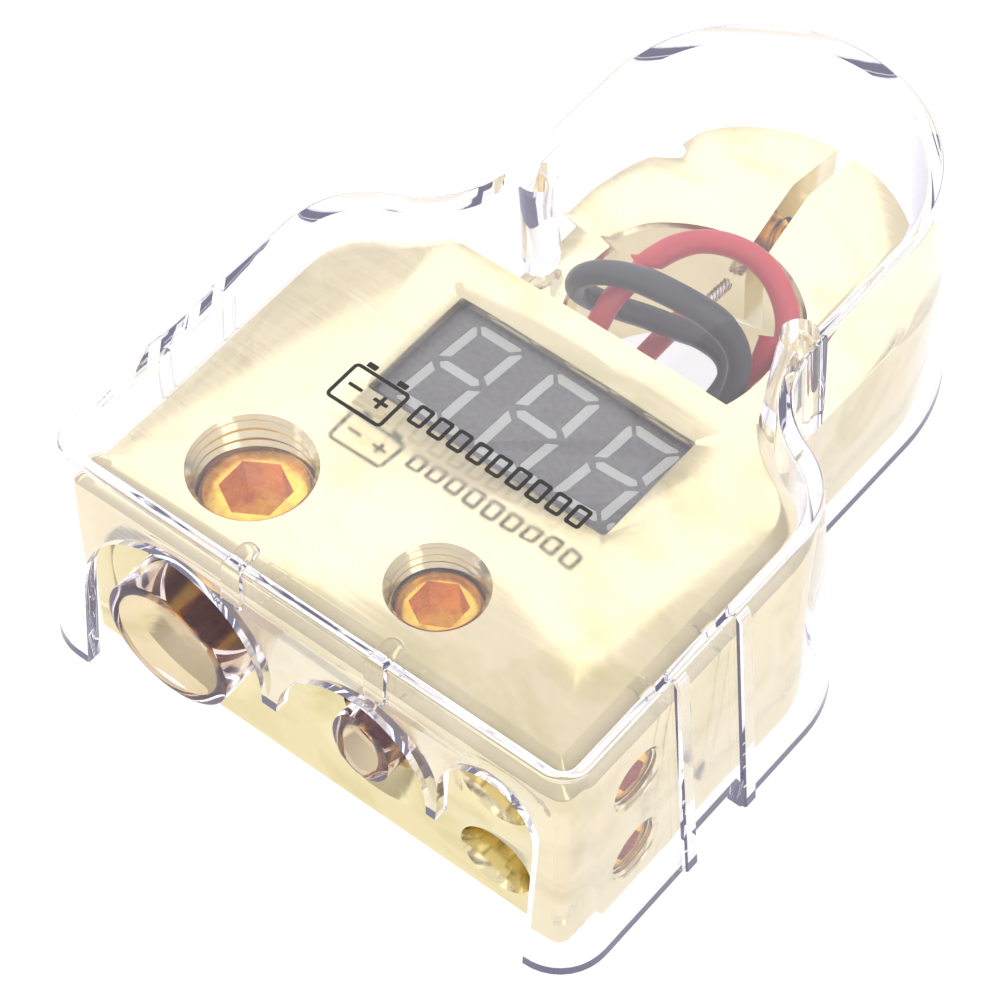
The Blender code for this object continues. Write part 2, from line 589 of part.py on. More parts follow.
def build_display():
    """Face plate with open segments, diffusers, case and pins; returns the pin row's place."""
    face_x, face_y = BAY_HALF_X - 2 * GAP, BAY_HALF_Y - 2 * GAP
    face_low = FACE_TOP - FACE_THICK
    face = add_object("display_face", box_bm((WINDOW_X - face_x, WINDOW_Y - face_y, face_low),
                                             (WINDOW_X + face_x, WINDOW_Y + face_y, FACE_TOP)),
                      FACE_GREY)
    for index in range(DIGITS):
        x = digit_x(index)
        for number, bar in enumerate(segment_bars()):
            cut(face, f"digit_{index + 1}_bar_{number + 1}",
                prism_bm(bar_points(bar, x), face_low - MM, FACE_TOP + MM))
        dot_y = -(DIGIT_HEIGHT - SEGMENT) / 2
        spot = (x + DOT_X + dot_y * math.tan(DIGIT_SLANT), DIGIT_Y + dot_y, face_low - MM)
        cut(face, f"digit_{index + 1}_dot", cylinder_bm(spot, 3 * MM, DOT_R, sides=16))

    top = face_low - GAP
    pocket_x, pocket_y = face_x - 2 * GAP, face_y - 2 * GAP
    lefts = [WINDOW_X - pocket_x + GAP] + [digit_x(i) - DIFFUSER_LEAD for i in range(1, DIGITS)]
    rights = [left - GAP for left in lefts[1:]] + [WINDOW_X + pocket_x - GAP]
    for index, (left, right) in enumerate(zip(lefts, rights)):
        low = (left, WINDOW_Y - pocket_y + GAP, top - DIFFUSER_THICK)
        high = (right, WINDOW_Y + pocket_y - GAP, top)
        add_object(f"digit_{index + 1}_diffuser", box_bm(low, high), DIFFUSER)

    case_low = top - CASE_HEIGHT
    case = add_object("display_case", box_bm((WINDOW_X - face_x, WINDOW_Y - face_y, case_low),
                                             (WINDOW_X + face_x, WINDOW_Y + face_y, top)),
                      CASE_BLACK)
    floor = top - DIFFUSER_THICK - GAP
    cut(case, "pocket", box_bm((WINDOW_X - pocket_x, WINDOW_Y - pocket_y, floor),
                               (WINDOW_X + pocket_x, WINDOW_Y + pocket_y, BLOCK_HEIGHT)))

    row_y = face_y - STRIP_INSET
    length = (PINS - 1) * PIN_PITCH + STRIP_DEPTH
    for label, side in (("front", -1), ("rear", 1)):
        y = WINDOW_Y + side * row_y
        low = (WINDOW_X - length / 2, y - STRIP_DEPTH / 2, case_low - GAP - STRIP_HEIGHT)
        high = (WINDOW_X + length / 2, y + STRIP_DEPTH / 2, case_low - GAP)
        strip = add_object(f"{label}_pin_strip", box_bm(low, high), CASE_BLACK)
        for pin in range(PINS):
            bottom = BOARD_TOP - BOARD_THICK - PIN_BELOW_BOARD
            join(strip, f"pin_{pin + 1}", cylinder_bm((pin_x(pin), y, bottom),
                                                      low[2] - bottom + STRIP_HEIGHT / 2,
                                                      PIN_R, sides=12))
    return row_y


def pin_x(pin):
    """Place of a pin along its row."""
    return WINDOW_X + (pin - (PINS - 1) / 2) * PIN_PITCH


def build_board(row_y):
    """Circuit board with the parts on its underside."""
    low_z = BOARD_TOP - BOARD_THICK
    board = add_object("circuit_board",
                       box_bm((WINDOW_X - BOARD_HALF_X, WINDOW_Y - BOARD_HALF_Y, low_z),
                              (WINDOW_X + BOARD_HALF_X, WINDOW_Y + BOARD_HALF_Y, BOARD_TOP)),
                       BOARD_GREEN)
    for side in (-1, 1):
        for pin in range(PINS):
            spot = (pin_x(pin), WINDOW_Y + side * row_y, low_z - MM)
            cut(board, f"pin_hole_{side}_{pin + 1}",
                cylinder_bm(spot, BOARD_THICK + 2 * MM, PIN_R + GAP, sides=12))

    for name, offset, size, finish in BOARD_PARTS:
        build_board_part(name, offset, size, finish, low_z - GAP)
    trimmer = bpy.data.objects["calibration_trimmer"]
    name, offset, size, finish = BOARD_PARTS[-1]
    x, y, low = WINDOW_X + offset[0] * MM, WINDOW_Y + offset[1] * MM, low_z - GAP - size[2] * MM
    cut(trimmer, "slot", box_bm((x - TRIM_SLOT[0], y - TRIM_SLOT[1], low - MM),
                                (x + TRIM_SLOT[0], y + TRIM_SLOT[1], low + TRIM_SLOT[2])))


# pieces soldered under the board: offset from the board's centre and size, in millimetres
BOARD_PARTS = (("controller_chip", (-6.2, -1.9), (5.2, 4.4, 1.5), CASE_BLACK),
               ("voltage_regulator", (6.8, -1.0), (4.5, 2.6, 1.5), CASE_BLACK),
               ("input_capacitor", (6.8, 1.8), (3.2, 1.6, 1.4), TAN),
               ("output_capacitor", (10.4, -0.6), (1.4, 3.2, 1.4), TAN),
               ("sense_resistor", (-1.4, -2.6), (3.2, 1.6, 0.7), CASE_BLACK),
               ("polarity_diode", (2.4, -1.6), (3.0, 1.7, 1.3), CASE_BLACK),
               ("calibration_trimmer", (-10.6, 0.4), (2.9, 3.4, 1.9), BLUE))
TRIM_SLOT = (0.25 * MM, 0.9 * MM, 0.6 * MM)


def build_board_part(name, offset, size, finish, top):
    """A component under the board."""
    x, y = WINDOW_X + offset[0] * MM, WINDOW_Y + offset[1] * MM
    half_x, half_y, height = size[0] * MM / 2, size[1] * MM / 2, size[2] * MM
    return add_object(name, box_bm((x - half_x, y - half_y, top - height),
                                   (x + half_x, y + half_y, top)), finish)


def build_closing_plate():
    """Plate under the bay, with its two countersunk screws."""
    low_z, high_z = PLATE_SUNK, PLATE_SUNK + PLATE_THICK
    plate = add_object("closing_plate",
                       box_bm((WINDOW_X - PLATE_HALF_X, WINDOW_Y - PLATE_HALF_Y, low_z),
                              (WINDOW_X + PLATE_HALF_X, WINDOW_Y + PLATE_HALF_Y, high_z)),
                       CASE_BLACK)
    for label, side in (("left", -1), ("right", 1)):
        x = plate_screw_x(side)
        hole_r = PLATE_SCREW_R + GAP
        flare = (PLATE_HEAD_R - PLATE_SCREW_R) / PLATE_HEAD
        cut(plate, f"{label}_hole", turned_bm((x, WINDOW_Y, low_z), "z", [
            (-OVERRUN, PLATE_HEAD_R + GAP + flare * OVERRUN), (PLATE_HEAD, hole_r),
            (PLATE_THICK + OVERRUN, hole_r)], sides=24))
        profile = [(0, PLATE_HEAD_R), (PLATE_HEAD, PLATE_SCREW_R),
                   (PLATE_HEAD + PLATE_SHANK, PLATE_SCREW_R)]
        screw = add_object(f"{label}_plate_screw",
                           turned_bm((x, WINDOW_Y, low_z), "z", profile, sides=24), TIN)
        for name, half_x, half_y in (("slot_a", CROSS_LONG, CROSS_SHORT),
                                     ("slot_b", CROSS_SHORT, CROSS_LONG)):
            cut(screw, name, box_bm((x - half_x, WINDOW_Y - half_y, -MM),
                                    (x + half_x, WINDOW_Y + half_y, low_z + CROSS_DEPTH)))
        smooth(screw)


# ---- leads ---------------------------------------------------------------------------------
RED_ROUTE = [(-3.9, -1.2, 7.6), (-3.9, 3.0, 7.6), (-3.9, 5.2, 7.6), (-3.9, 6.8, 7.7),
             (-4.1, 8.9, 9.0), (-4.2, 9.5, 11.4), (-4.1, 10.1, 13.8), (-4.1, 11.9, 15.3),
             (-3.8, 14.2, 16.0), (-3.2, 16.85, 16.3), (-2.1, 19.0, 16.5), (-0.5, 20.4, 16.5),
             (1.4, 21.15, 16.2), (3.4, 21.3, 15.5), (5.3, 20.7, 14.5), (6.7, 19.6, 13.2),
             (7.5, 17.9, 11.3), (7.7, 16.2, 9.0), (7.3, 14.3, 6.9), (6.3, 12.3, 5.6),
             (4.6, 10.6, 5.0), (2.5, 9.6, 5.0), (0.5, 9.8, 5.6), (-1.0, 11.2, 6.6),
             (-1.6, 13.3, 7.5), (-1.7, 15.8, 7.9), (-1.7, 18.2, 8.0), (-1.8, 20.4, 8.0)]
BLACK_ROUTE = [(1.5, -1.2, 7.6), (1.5, 3.0, 7.6), (1.5, 5.0, 7.6), (1.6, 6.7, 7.6),
               (2.8, 8.7, 7.7), (4.7, 10.9, 8.0), (6.1, 13.1, 8.8), (6.2, 15.1, 9.8),
               (4.7, 16.2, 10.5), (2.3, 16.4, 10.7), (-0.2, 15.9, 10.7), (-2.8, 15.2, 10.9),
               (-5.0, 14.0, 11.6), (-6.8, 12.4, 13.1), (-7.3, 11.2, 15.1), (-6.6, 10.9, 17.0),
               (-5.0, 11.4, 18.1), (-2.9, 12.2, 18.3), (-0.4, 12.9, 18.0), (1.9, 13.5, 17.5),
               (4.0, 14.1, 16.6), (5.9, 14.4, 15.3), (7.2, 14.3, 13.6), (7.8, 13.6, 11.7),
               (7.8, 12.7, 10.2)]
RED_TIP = [(-1.83, 20.75, 8.0), (-1.9, 22.0, 7.9), (-1.9, 23.6, 7.7)]
BLACK_TIP = [(7.7, 12.35, 9.75), (7.3, 11.7, 8.7), (6.8, 11.1, 7.7)]
LEAD_STEP = 0.7                     # spacing of tube points, in lead diameters


def smooth_route(points, spacing):
    """Evenly spaced points on one smooth curve through the route's points."""
    dense = []
    ends = [points[0]] + list(points) + [points[-1]]
    for i in range(len(points) - 1):
        a, b, c, d = (Vector(ends[i + k]) for k in range(4))
        for k in range(24):
            t = k / 24
            dense.append(0.5 * ((2 * b) + (c - a) * t + (2 * a - 5 * b + 4 * c - d) * t * t
                                + (3 * b - a - 3 * c + d) * t ** 3))
    dense.append(Vector(points[-1]))
    length = sum((q - p).length for p, q in zip(dense, dense[1:]))
    count = max(2, round(length / spacing))
    wanted, walked, kept = length / count, 0.0, [dense[0]]
    for p, q in zip(dense, dense[1:]):
        step = (q - p).length
        while len(kept) < count and walked + step >= wanted * len(kept):
            kept.append(p.lerp(q, (wanted * len(kept) - walked) / step))
        walked += step
    kept.append(dense[-1])
    return kept


def build_wire(name, route, radius, finish):
    """A round wire along a route in millimetres."""
    points = smooth_route(route, LEAD_STEP * 2 * radius / MM)
    curve = bpy.data.curves.new(name, "CURVE")
    curve.dimensions = "3D"
    curve.bevel_depth = radius
    curve.bevel_resolution = 2
    curve.use_fill_caps = True
    line = curve.splines.new("POLY")
    line.points.add(len(points) - 1)
    for spot, point in zip(line.points, points):
        spot.co = (*(point * MM), 1.0)
    curve.materials.append(finish)
    wire = bpy.data.objects.new(name, curve)
    parts.objects.link(wire)
    return wire


def build_leads():
    """Supply lead and ground lead, packed in the post bore, with tinned ends and bushes."""
    build_wire("red_lead", RED_ROUTE, LEAD_R, RED)
    build_wire("black_lead", BLACK_ROUTE, LEAD_R, BLACK)
    build_wire("red_lead_tip", RED_TIP, TIP_R, TIN)
    build_wire("black_lead_tip", BLACK_TIP, TIP_R, TIN)
    start = WINDOW_Y + BAY_HALF_Y + GAP
    length = POST_Y - POST_R - start - GAP
    for label, x in (("red", RED_PORT_X), ("black", BLACK_PORT_X)):
        bush = add_object(f"{label}_lead_bush", cylinder_bm((x, start, PORT_Z), length,
                                                            PORT_R - GAP, "y", sides=32),
                          BUSH_GREY)
        cut(bush, "inside", cylinder_bm((x, start - MM, PORT_Z), length + 2 * MM,
                                        LEAD_R + GAP, "y", sides=32))
        smooth(bush)
        joint_top = BOARD_TOP - BOARD_THICK - GAP
        add_object(f"{label}_lead_solder",
                   cylinder_bm((x, SOLDER_Y, joint_top - SOLDER_HEIGHT), SOLDER_HEIGHT,
                               LEAD_R - TIP_R + GAP / 3, end_radius=SOLDER_R, sides=24), TIN)


# ---- cover ---------------------------------------------------------------------------------
def build_cover():
    """Clear one-piece cover: leaning walls, notched front, ribs, pillars and a flat sheet."""
    rim, top = COVER_RIM_Z, COVER_TOP
    edge = COVER_EDGE_R
    outer = stack_bm([(cover_outline(rim), rim), (cover_outline(top - edge), top - edge),
                      (cover_outline(top - edge * 0.3, edge * 0.25), top - edge * 0.3),
                      (cover_outline(top, edge * 0.9), top)])
    cover = add_object("clear_cover", outer, CLEAR)
    for y in SIDE_RIBS:
        for side in (-1, 1):
            join(cover, f"side_rib_{side}_{round(y / MM)}", leaning_rib(side, y))
    for number, x in enumerate(BEAD_X):
        join(cover, f"bead_{number + 1}", bead(x))
    ceiling = top - COVER_SHEET
    cut(cover, "inside", prism_bm(cover_outline(rim - MM, COVER_WALL), rim - MM, ceiling,
                                  cover_outline(ceiling, COVER_WALL)))
    for side in (-1, 1):
        x = side * (RING_HALF + COVER_RING_AIR - COVER_DRAFT * (ceiling - RING_EDGE_Z)
                    - PILLAR_INSET)
        low = RING_HEIGHT + GAP
        join(cover, f"pillar_{side}", cylinder_bm((x, PILLAR_Y, low), ceiling - low + 0.3 * MM,
                                                  PILLAR_R, sides=32))
    notches = (("large", LARGE_X, LARGE_Z, LARGE_MOUTH_R + NOTCH_AIR),
               ("medium", MEDIUM_X + MEDIUM_NOTCH_SHIFT, MEDIUM_Z, MEDIUM_MOUTH_R + NOTCH_AIR),
               ("small", SMALL_X + SMALL_NOTCH_SHIFT, SMALL_Z[1],
                SMALL_MOUTH_R + SMALL_NOTCH_AIR))
    front = -BLOCK_FRONT - 8 * MM
    depth = 8 * MM
    for label, x, z, radius in notches:
        cut(cover, f"{label}_notch", arch_bm(x, z, radius, TOOTH_Z - 2 * MM, front, depth))
    left, right = LARGE_X - notches[0][3], SMALL_X + SMALL_NOTCH_SHIFT + notches[2][3]
    cut(cover, "front_gate", box_bm((left, front, -5 * MM), (right, front + depth, TOOTH_Z)))
    low_y, high_y = (SIDE_RIBS[0] + RIB_WIDTH / 2, SIDE_RIBS[1] - RIB_WIDTH / 2)
    for side in (-1, 1):
        near, far = sorted((side * (BLOCK_HALF - 2 * MM), side * (BLOCK_HALF + 10 * MM)))
        cut(cover, f"side_gate_{side}", box_bm((near, low_y, -5 * MM),
                                               (far, high_y, COVER_RIM_Z + SIDE_CUT_HEIGHT)))
    return cover


def arch_bm(x, z, radius, foot_z, start_y, depth):
    """An arched tool body that runs along +Y: half round above, straight legs below."""
    outline = [(x + radius, foot_z)] + arc((x, z), radius, 0, math.pi) + [(x - radius, foot_z)]
    bm = prism_bm([(px, -pz) for px, pz in outline], 0, depth)
    bmesh.ops.rotate(bm, matrix=turn_to("y"), verts=bm.verts)
    bmesh.ops.translate(bm, vec=(0, start_y, 0), verts=bm.verts)
    return bm


def leaning_rib(side, y):
    """Upright rib on a side wall, leaning with the wall."""
    def plan(z):
        wall = max(x for x, _ in cover_outline(z))
        inner, outer = wall - RIB_ROOT, wall + RIB_PROUD
        return [(side * inner, y - RIB_WIDTH / 2), (side * outer, y - RIB_WIDTH / 2),
                (side * outer, y + RIB_WIDTH / 2), (side * inner, y + RIB_WIDTH / 2)]
    high = COVER_TOP - COVER_EDGE_R
    low = COVER_RIM_Z + GAP
    return prism_bm(plan(low), low, high, plan(high))


def bead(x):
    """Round-ended bead that lies over the front edge of the cover."""
    high = COVER_TOP + BEAD_PROUD
    rear = min(y for _, y in cover_outline(COVER_TOP)) + BEAD_BACK - BEAD_R

    def plan(z):
        front = min(y for _, y in cover_outline(z)) - BEAD_PROUD
        return [(x - BEAD_R, front), (x + BEAD_R, front)] + arc((x, rear), BEAD_R, 0, math.pi)
    return stack_bm([(plan(BEAD_FOOT_Z), BEAD_FOOT_Z), (plan(high - BEAD_R), high - BEAD_R),
                     (plan(COVER_TOP - BEAD_R), high)])


def centre_origin():
    """Move every piece and tool body so that the origin lies under the middle of the box."""
    ends = [y for _, y in cover_outline(COVER_RIM_Z)]
    middle = (min(ends) + max(ends)) / 2
    for collection in (parts, cutters):
        for piece in collection.objects:
            piece.location.y -= middle


build_casting()
build_set_screws()
build_clamp_bolt()
build_sleeves()
build_board(build_display())
build_closing_plate()
build_leads()
build_cover()
centre_origin()
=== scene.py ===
"""Looks of a gold plated battery post clamp with a voltmeter and a clear lift-off cover.

Shapes are drawn in millimetres from the middle of the display side of the casting, and each
finished piece is brought into the frame, in metres, as it is placed.
"""

import logging
import math
from collections.abc import Iterable, Sequence
from dataclasses import dataclass, field
from enum import Enum

import bmesh
import bpy
from bmesh.types import BMesh
from mathutils import Matrix, Vector


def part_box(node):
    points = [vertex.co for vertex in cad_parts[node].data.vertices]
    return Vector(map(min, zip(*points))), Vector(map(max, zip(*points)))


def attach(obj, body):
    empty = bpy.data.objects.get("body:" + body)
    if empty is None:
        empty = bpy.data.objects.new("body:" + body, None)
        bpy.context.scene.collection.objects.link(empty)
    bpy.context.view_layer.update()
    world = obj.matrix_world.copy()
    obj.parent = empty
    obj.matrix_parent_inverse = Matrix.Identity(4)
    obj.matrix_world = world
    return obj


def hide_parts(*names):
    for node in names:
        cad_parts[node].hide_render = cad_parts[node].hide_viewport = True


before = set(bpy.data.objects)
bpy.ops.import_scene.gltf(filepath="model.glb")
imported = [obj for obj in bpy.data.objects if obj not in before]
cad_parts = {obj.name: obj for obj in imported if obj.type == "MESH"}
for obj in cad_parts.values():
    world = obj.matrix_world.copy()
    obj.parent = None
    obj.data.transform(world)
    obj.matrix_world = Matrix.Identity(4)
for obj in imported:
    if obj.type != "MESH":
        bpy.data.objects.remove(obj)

MM = 0.001
CASTING_FRONT = 28.8                # drawn distance from the origin to the casting's front face
SHARP_ANGLE = math.radians(32)
ROUND = 96                          # sides of a bore
OVERRUN = 0.5                       # a tool body runs this far past the face it opens
FULL_TURN = 2 * math.pi
SLOTS = 5                           # most finishes on one piece
UPRIGHT_PITCH = 0.9                 # thread of the two screws set from above
SIDE_PITCH = 0.6                    # thread of the two side screws
LOG = logging.getLogger("battery_clamp")

Point2 = tuple[float, float]
Point3 = tuple[float, float, float]
Colour = tuple[float, float, float]


class Axis(Enum):
    """Direction that a turned body runs along."""

    X = "x"
    Y = "y"
    Z = "z"

    def turn(self) -> Matrix:
        """Rotation that takes +Z to this axis."""
        if self is Axis.X:
            return Matrix.Rotation(math.radians(90), 4, "Y")
        if self is Axis.Y:
            return Matrix.Rotation(math.radians(-90), 4, "X")
        return Matrix.Identity(4)


class Work(Enum):
    """What a tool body does to the piece it meets."""

    CUT = "DIFFERENCE"
    JOIN = "UNION"
    KEEP = "INTERSECT"


# ---- shared bench tools ------------------------------------------------------------------


def drawn_to_frame() -> Matrix:
    """Matrix from the drawn millimetres to the frame's metres."""
    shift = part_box("terminal_casting")[0].y / MM + CASTING_FRONT
    return Matrix.Scale(MM, 4) @ Matrix.Translation((0, shift, 0))


def arc(centre: Point2, radius: float, start: float, end: float, step: float = 4.0) -> list[Point2]:
    """Points along an arc, both ends included.

    Args:
        centre: centre of the arc.
        radius: its radius.
        start: start angle in radians.
        end: end angle in radians.
        step: wanted angle between points, in degrees.

    Returns:
        The points in order.
    """
    count = max(2, round(abs(end - start) / math.radians(step)))
    return [(centre[0] + radius * math.cos(start + (end - start) * i / count),
             centre[1] + radius * math.sin(start + (end - start) * i / count))
            for i in range(count + 1)]


def rounded_box(low: Point2, high: Point2, radius: float) -> list[Point2]:
    """Outline of a rectangle with round corners.

    Args:
        low: lower left corner.
        high: upper right corner.
        radius: corner radius.

    Returns:
        The outline's points, anticlockwise.
    """
    centres = [(high[0] - radius, high[1] - radius), (low[0] + radius, high[1] - radius),
               (low[0] + radius, low[1] + radius), (high[0] - radius, low[1] + radius)]
    points: list[Point2] = []
    for corner, centre in enumerate(centres):
        points += arc(centre, radius, corner * math.pi / 2, (corner + 1) * math.pi / 2, 15)
    return points


def stacked(levels: Sequence[tuple[Sequence[Point2], float]]) -> BMesh:
    """A solid drawn up from a flat outline through further outlines of as many points.

    Args:
        levels: outlines with their heights, from the lowest up.

    Returns:
        The closed solid.
    """
    bm = bmesh.new()
    points, height = levels[0]
    face = bm.faces.new([bm.verts.new((x, y, height)) for x, y in points])
    for number, (points, height) in enumerate(levels[1:]):
        drawn = bmesh.ops.extrude_face_region(bm, geom=[face])["geom"]
        if number:
            bmesh.ops.delete(bm, geom=[face], context="FACES_ONLY")
        face = next(item for item in drawn if isinstance(item, bmesh.types.BMFace))
        for vert, (x, y) in zip(face.verts, points):
            vert.co = (x, y, height)
    bmesh.ops.recalc_face_normals(bm, faces=bm.faces)
    return bm


def block(low: Point3, high: Point3, edge: float = 0.0) -> BMesh:
    """A box between two corners, with its edges rounded.

    Args:
        low: lowest corner.
        high: highest corner.
        edge: radius of the rounding, or 0 for none.

    Returns:
        The box.
    """
    bm = bmesh.new()
    bmesh.ops.create_cube(bm, size=1.0)
    bmesh.ops.scale(bm, vec=Vector(high) - Vector(low), verts=bm.verts)
    bmesh.ops.translate(bm, vec=(Vector(low) + Vector(high)) / 2, verts=bm.verts)
    if edge:
        bmesh.ops.bevel(bm, geom=bm.edges[:], offset=edge, segments=2, profile=0.5,
                        affect="EDGES", material=-1)
    return bm


def turned(profile: Sequence[Point2], start: Point3 = (0, 0, 0), axis: Axis = Axis.Z,
           sides: int = ROUND) -> BMesh:
    """A closed turned body.

    Args:
        profile: (distance along the axis, radius) pairs; a solid starts and ends on radius 0.
        start: place of distance 0.
        axis: direction of the axis.
        sides: facets round it.

    Returns:
        The turned body.
    """
    bm = bmesh.new()
    verts = [bm.verts.new((radius, 0, along)) for along, radius in profile]
    edges = [bm.edges.new(pair) for pair in zip(verts, verts[1:])]
    bmesh.ops.spin(bm, geom=verts + edges, cent=(0, 0, 0), axis=(0, 0, 1), angle=FULL_TURN,
                   steps=sides, use_merge=True)
    return settle(bm, Matrix.Translation(start) @ axis.turn())


def rod(length: float, radius: float, start: Point3, axis: Axis = Axis.Z, sides: int = ROUND) -> BMesh:
    """A plain round body.

    Args:
        length: its length.
        radius: its radius.
        start: centre of its first end.
        axis: direction it runs in.
        sides: facets round it.

    Returns:
        The body.
    """
    return turned([(0, 0), (0, radius), (length, radius), (length, 0)], start, axis, sides)


def hexagon(depth: float, key: float, point: float, start: Point3, axis: Axis) -> BMesh:
    """Tool body of a hexagon socket with a drilled floor.

    Args:
        depth: from the floor to past the mouth.
        key: size across flats.
        point: depth of the drill point below the floor.
        start: centre of the floor.
        axis: direction from the floor to the mouth.

    Returns:
        The tool body.
    """
    bm = bmesh.new()
    radius = key / math.sqrt(3)
    bmesh.ops.create_cone(bm, cap_ends=True, segments=6, radius1=radius, radius2=radius, depth=depth)
    bmesh.ops.translate(bm, vec=(0, 0, depth / 2), verts=bm.verts)
    floor = min(bm.faces, key=lambda face: face.calc_center_median().z)
    bmesh.ops.inset_region(bm, faces=[floor], thickness=radius * 0.12, depth=0)
    bmesh.ops.poke(bm, faces=[floor], offset=point)
    return settle(bm, Matrix.Translation(start) @ axis.turn())


def threaded(root: float, crest: float, low: float, high: float, pitch: float,
             start: Point3, axis: Axis = Axis.Z) -> BMesh:
    """A threaded rod with flat ends.

    Args:
        root: radius at the bottom of the thread.
        crest: radius at its top.
        low: first end, along the axis.
        high: other end.
        pitch: advance of one turn.
        start: place of distance 0.
        axis: direction of the axis.

    Returns:
        The closed rod.
    """
    bm = bmesh.new()
    turns = math.ceil((high - low) / pitch) + 3
    shape = ((0.0, root), (0.12, root), (0.5, crest), (0.62, crest))
    profile = [(low + (turn - 1.5 + part) * pitch, radius)
               for turn in range(turns) for part, radius in shape]
    verts = [bm.verts.new((radius, 0, along)) for along, radius in profile]
    edges = [bm.edges.new(pair) for pair in zip(verts, verts[1:])]
    steps = 72
    bmesh.ops.spin(bm, geom=verts + edges, cent=(0, 0, 0), axis=(0, 0, 1), angle=FULL_TURN,
                   dvec=(0, 0, pitch / steps), steps=steps, use_merge=False)
    bmesh.ops.remove_doubles(bm, verts=bm.verts, dist=1e-4)
    for height, direction in ((low, -1), (high, 1)):
        bmesh.ops.bisect_plane(bm, geom=bm.verts[:] + bm.edges[:] + bm.faces[:], dist=1e-6,
                               plane_co=(0, 0, height), plane_no=(0, 0, direction),
                               clear_outer=True)
    rims = [edge for edge in bm.edges if edge.is_boundary]
    bmesh.ops.holes_fill(bm, edges=rims, sides=0)
    return settle(bm, Matrix.Translation(start) @ axis.turn())


def settle(bm: BMesh, place: Matrix) -> BMesh:
    """Merge doubles, point the faces outward and move a body to its place.

    Args:
        bm: the body.
        place: its placing matrix.

    Returns:
        The same body.
    """
    bmesh.ops.remove_doubles(bm, verts=bm.verts, dist=1e-5)
    bmesh.ops.transform(bm, matrix=place, verts=bm.verts)
    bmesh.ops.recalc_face_normals(bm, faces=bm.faces)
    return bm


def scratch_object(bm: BMesh, material_index: int = 0) -> bpy.types.Object:
    """Temporary object for a Boolean, which takes the body over.

    Args:
        bm: the body.
        material_index: slot of its faces.

    Returns:
        The temporary object.
    """
    for face in bm.faces:
        face.material_index = material_index
    mesh = bpy.data.meshes.new("scratch")
    bm.to_mesh(mesh)
    bm.free()
    made = bpy.data.objects.new("scratch", mesh)
    bpy.context.scene.collection.objects.link(made)
    return made


def worked(bm: BMesh, steps: Iterable[tuple[Work, BMesh, int]]) -> BMesh:
    """Work a body with tool bodies, one after another.

    Args:
        bm: the body to work.
        steps: what to do, the tool body, and the material slot of the faces it leaves.

    Returns:
        The worked body.
    """
    piece = scratch_object(bm)
    tools = []
    for kind, tool_body, material_index in steps:
        tool = scratch_object(tool_body, material_index)
        change = piece.modifiers.new("work", "BOOLEAN")
        change.operation = kind.value
        change.object = tool
        change.solver = "EXACT"
        tools.append(tool)
    for made in [piece] + tools:
        for _ in range(SLOTS):
            made.data.materials.append(None)
    bpy.context.view_layer.update()
    result = piece.evaluated_get(bpy.context.evaluated_depsgraph_get())
    mesh = bpy.data.meshes.new_from_object(result)
    done = bmesh.new()
    done.from_mesh(mesh)
    bpy.data.meshes.remove(mesh)
    for made in [piece] + tools:
        shape = made.data
        bpy.data.objects.remove(made)
        bpy.data.meshes.remove(shape)
    bmesh.ops.remove_doubles(done, verts=done.verts, dist=1e-4)
    bmesh.ops.dissolve_degenerate(done, edges=done.edges, dist=1e-5)
    return done


def joined(bodies: Iterable[BMesh]) -> BMesh:
    """Gather separate bodies in one.

    Args:
        bodies: the bodies, which are used up.

    Returns:
        The gathered body.
    """
    whole = bmesh.new()
    for body in bodies:
        mesh = bpy.data.meshes.new("scratch")
        body.to_mesh(mesh)
        body.free()
        whole.from_mesh(mesh)
        bpy.data.meshes.remove(mesh)
    return whole


def place_piece(name: str, bm: BMesh, finishes: Sequence["Finish"], body: str,
                stands_for: Sequence[str] = (), sharp: float = SHARP_ANGLE) -> bpy.types.Object:
    """Bring a finished body into the frame as a piece.

    Args:
        name: the piece's name.
        bm: its body in drawn millimetres, which is used up.
        finishes: its finishes, by material slot.
        body: CAD body that it rides on.
        stands_for: CAD nodes that it replaces.
        sharp: angle past which an edge stays sharp.

    Returns:
        The piece.
    """
    bmesh.ops.transform(bm, matrix=drawn_to_frame(), verts=bm.verts)
    mesh = bpy.data.meshes.new(name)
    bm.normal_update()
    bm.to_mesh(mesh)
    bm.free()
    mesh.materials.clear()
    for finish in finishes:
        mesh.materials.append(finish.material())
    mesh.shade_smooth()
    mesh.set_sharp_from_angle(angle=sharp)
    piece = bpy.data.objects.new(name, mesh)
    bpy.context.scene.collection.objects.link(piece)
    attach(piece, body)
    if stands_for:
        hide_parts(*stands_for)
    LOG.info("%s: %d faces, on body %s", name, len(mesh.polygons), body)
    return piece


# ---- finishes ------------------------------------------------------------------------------


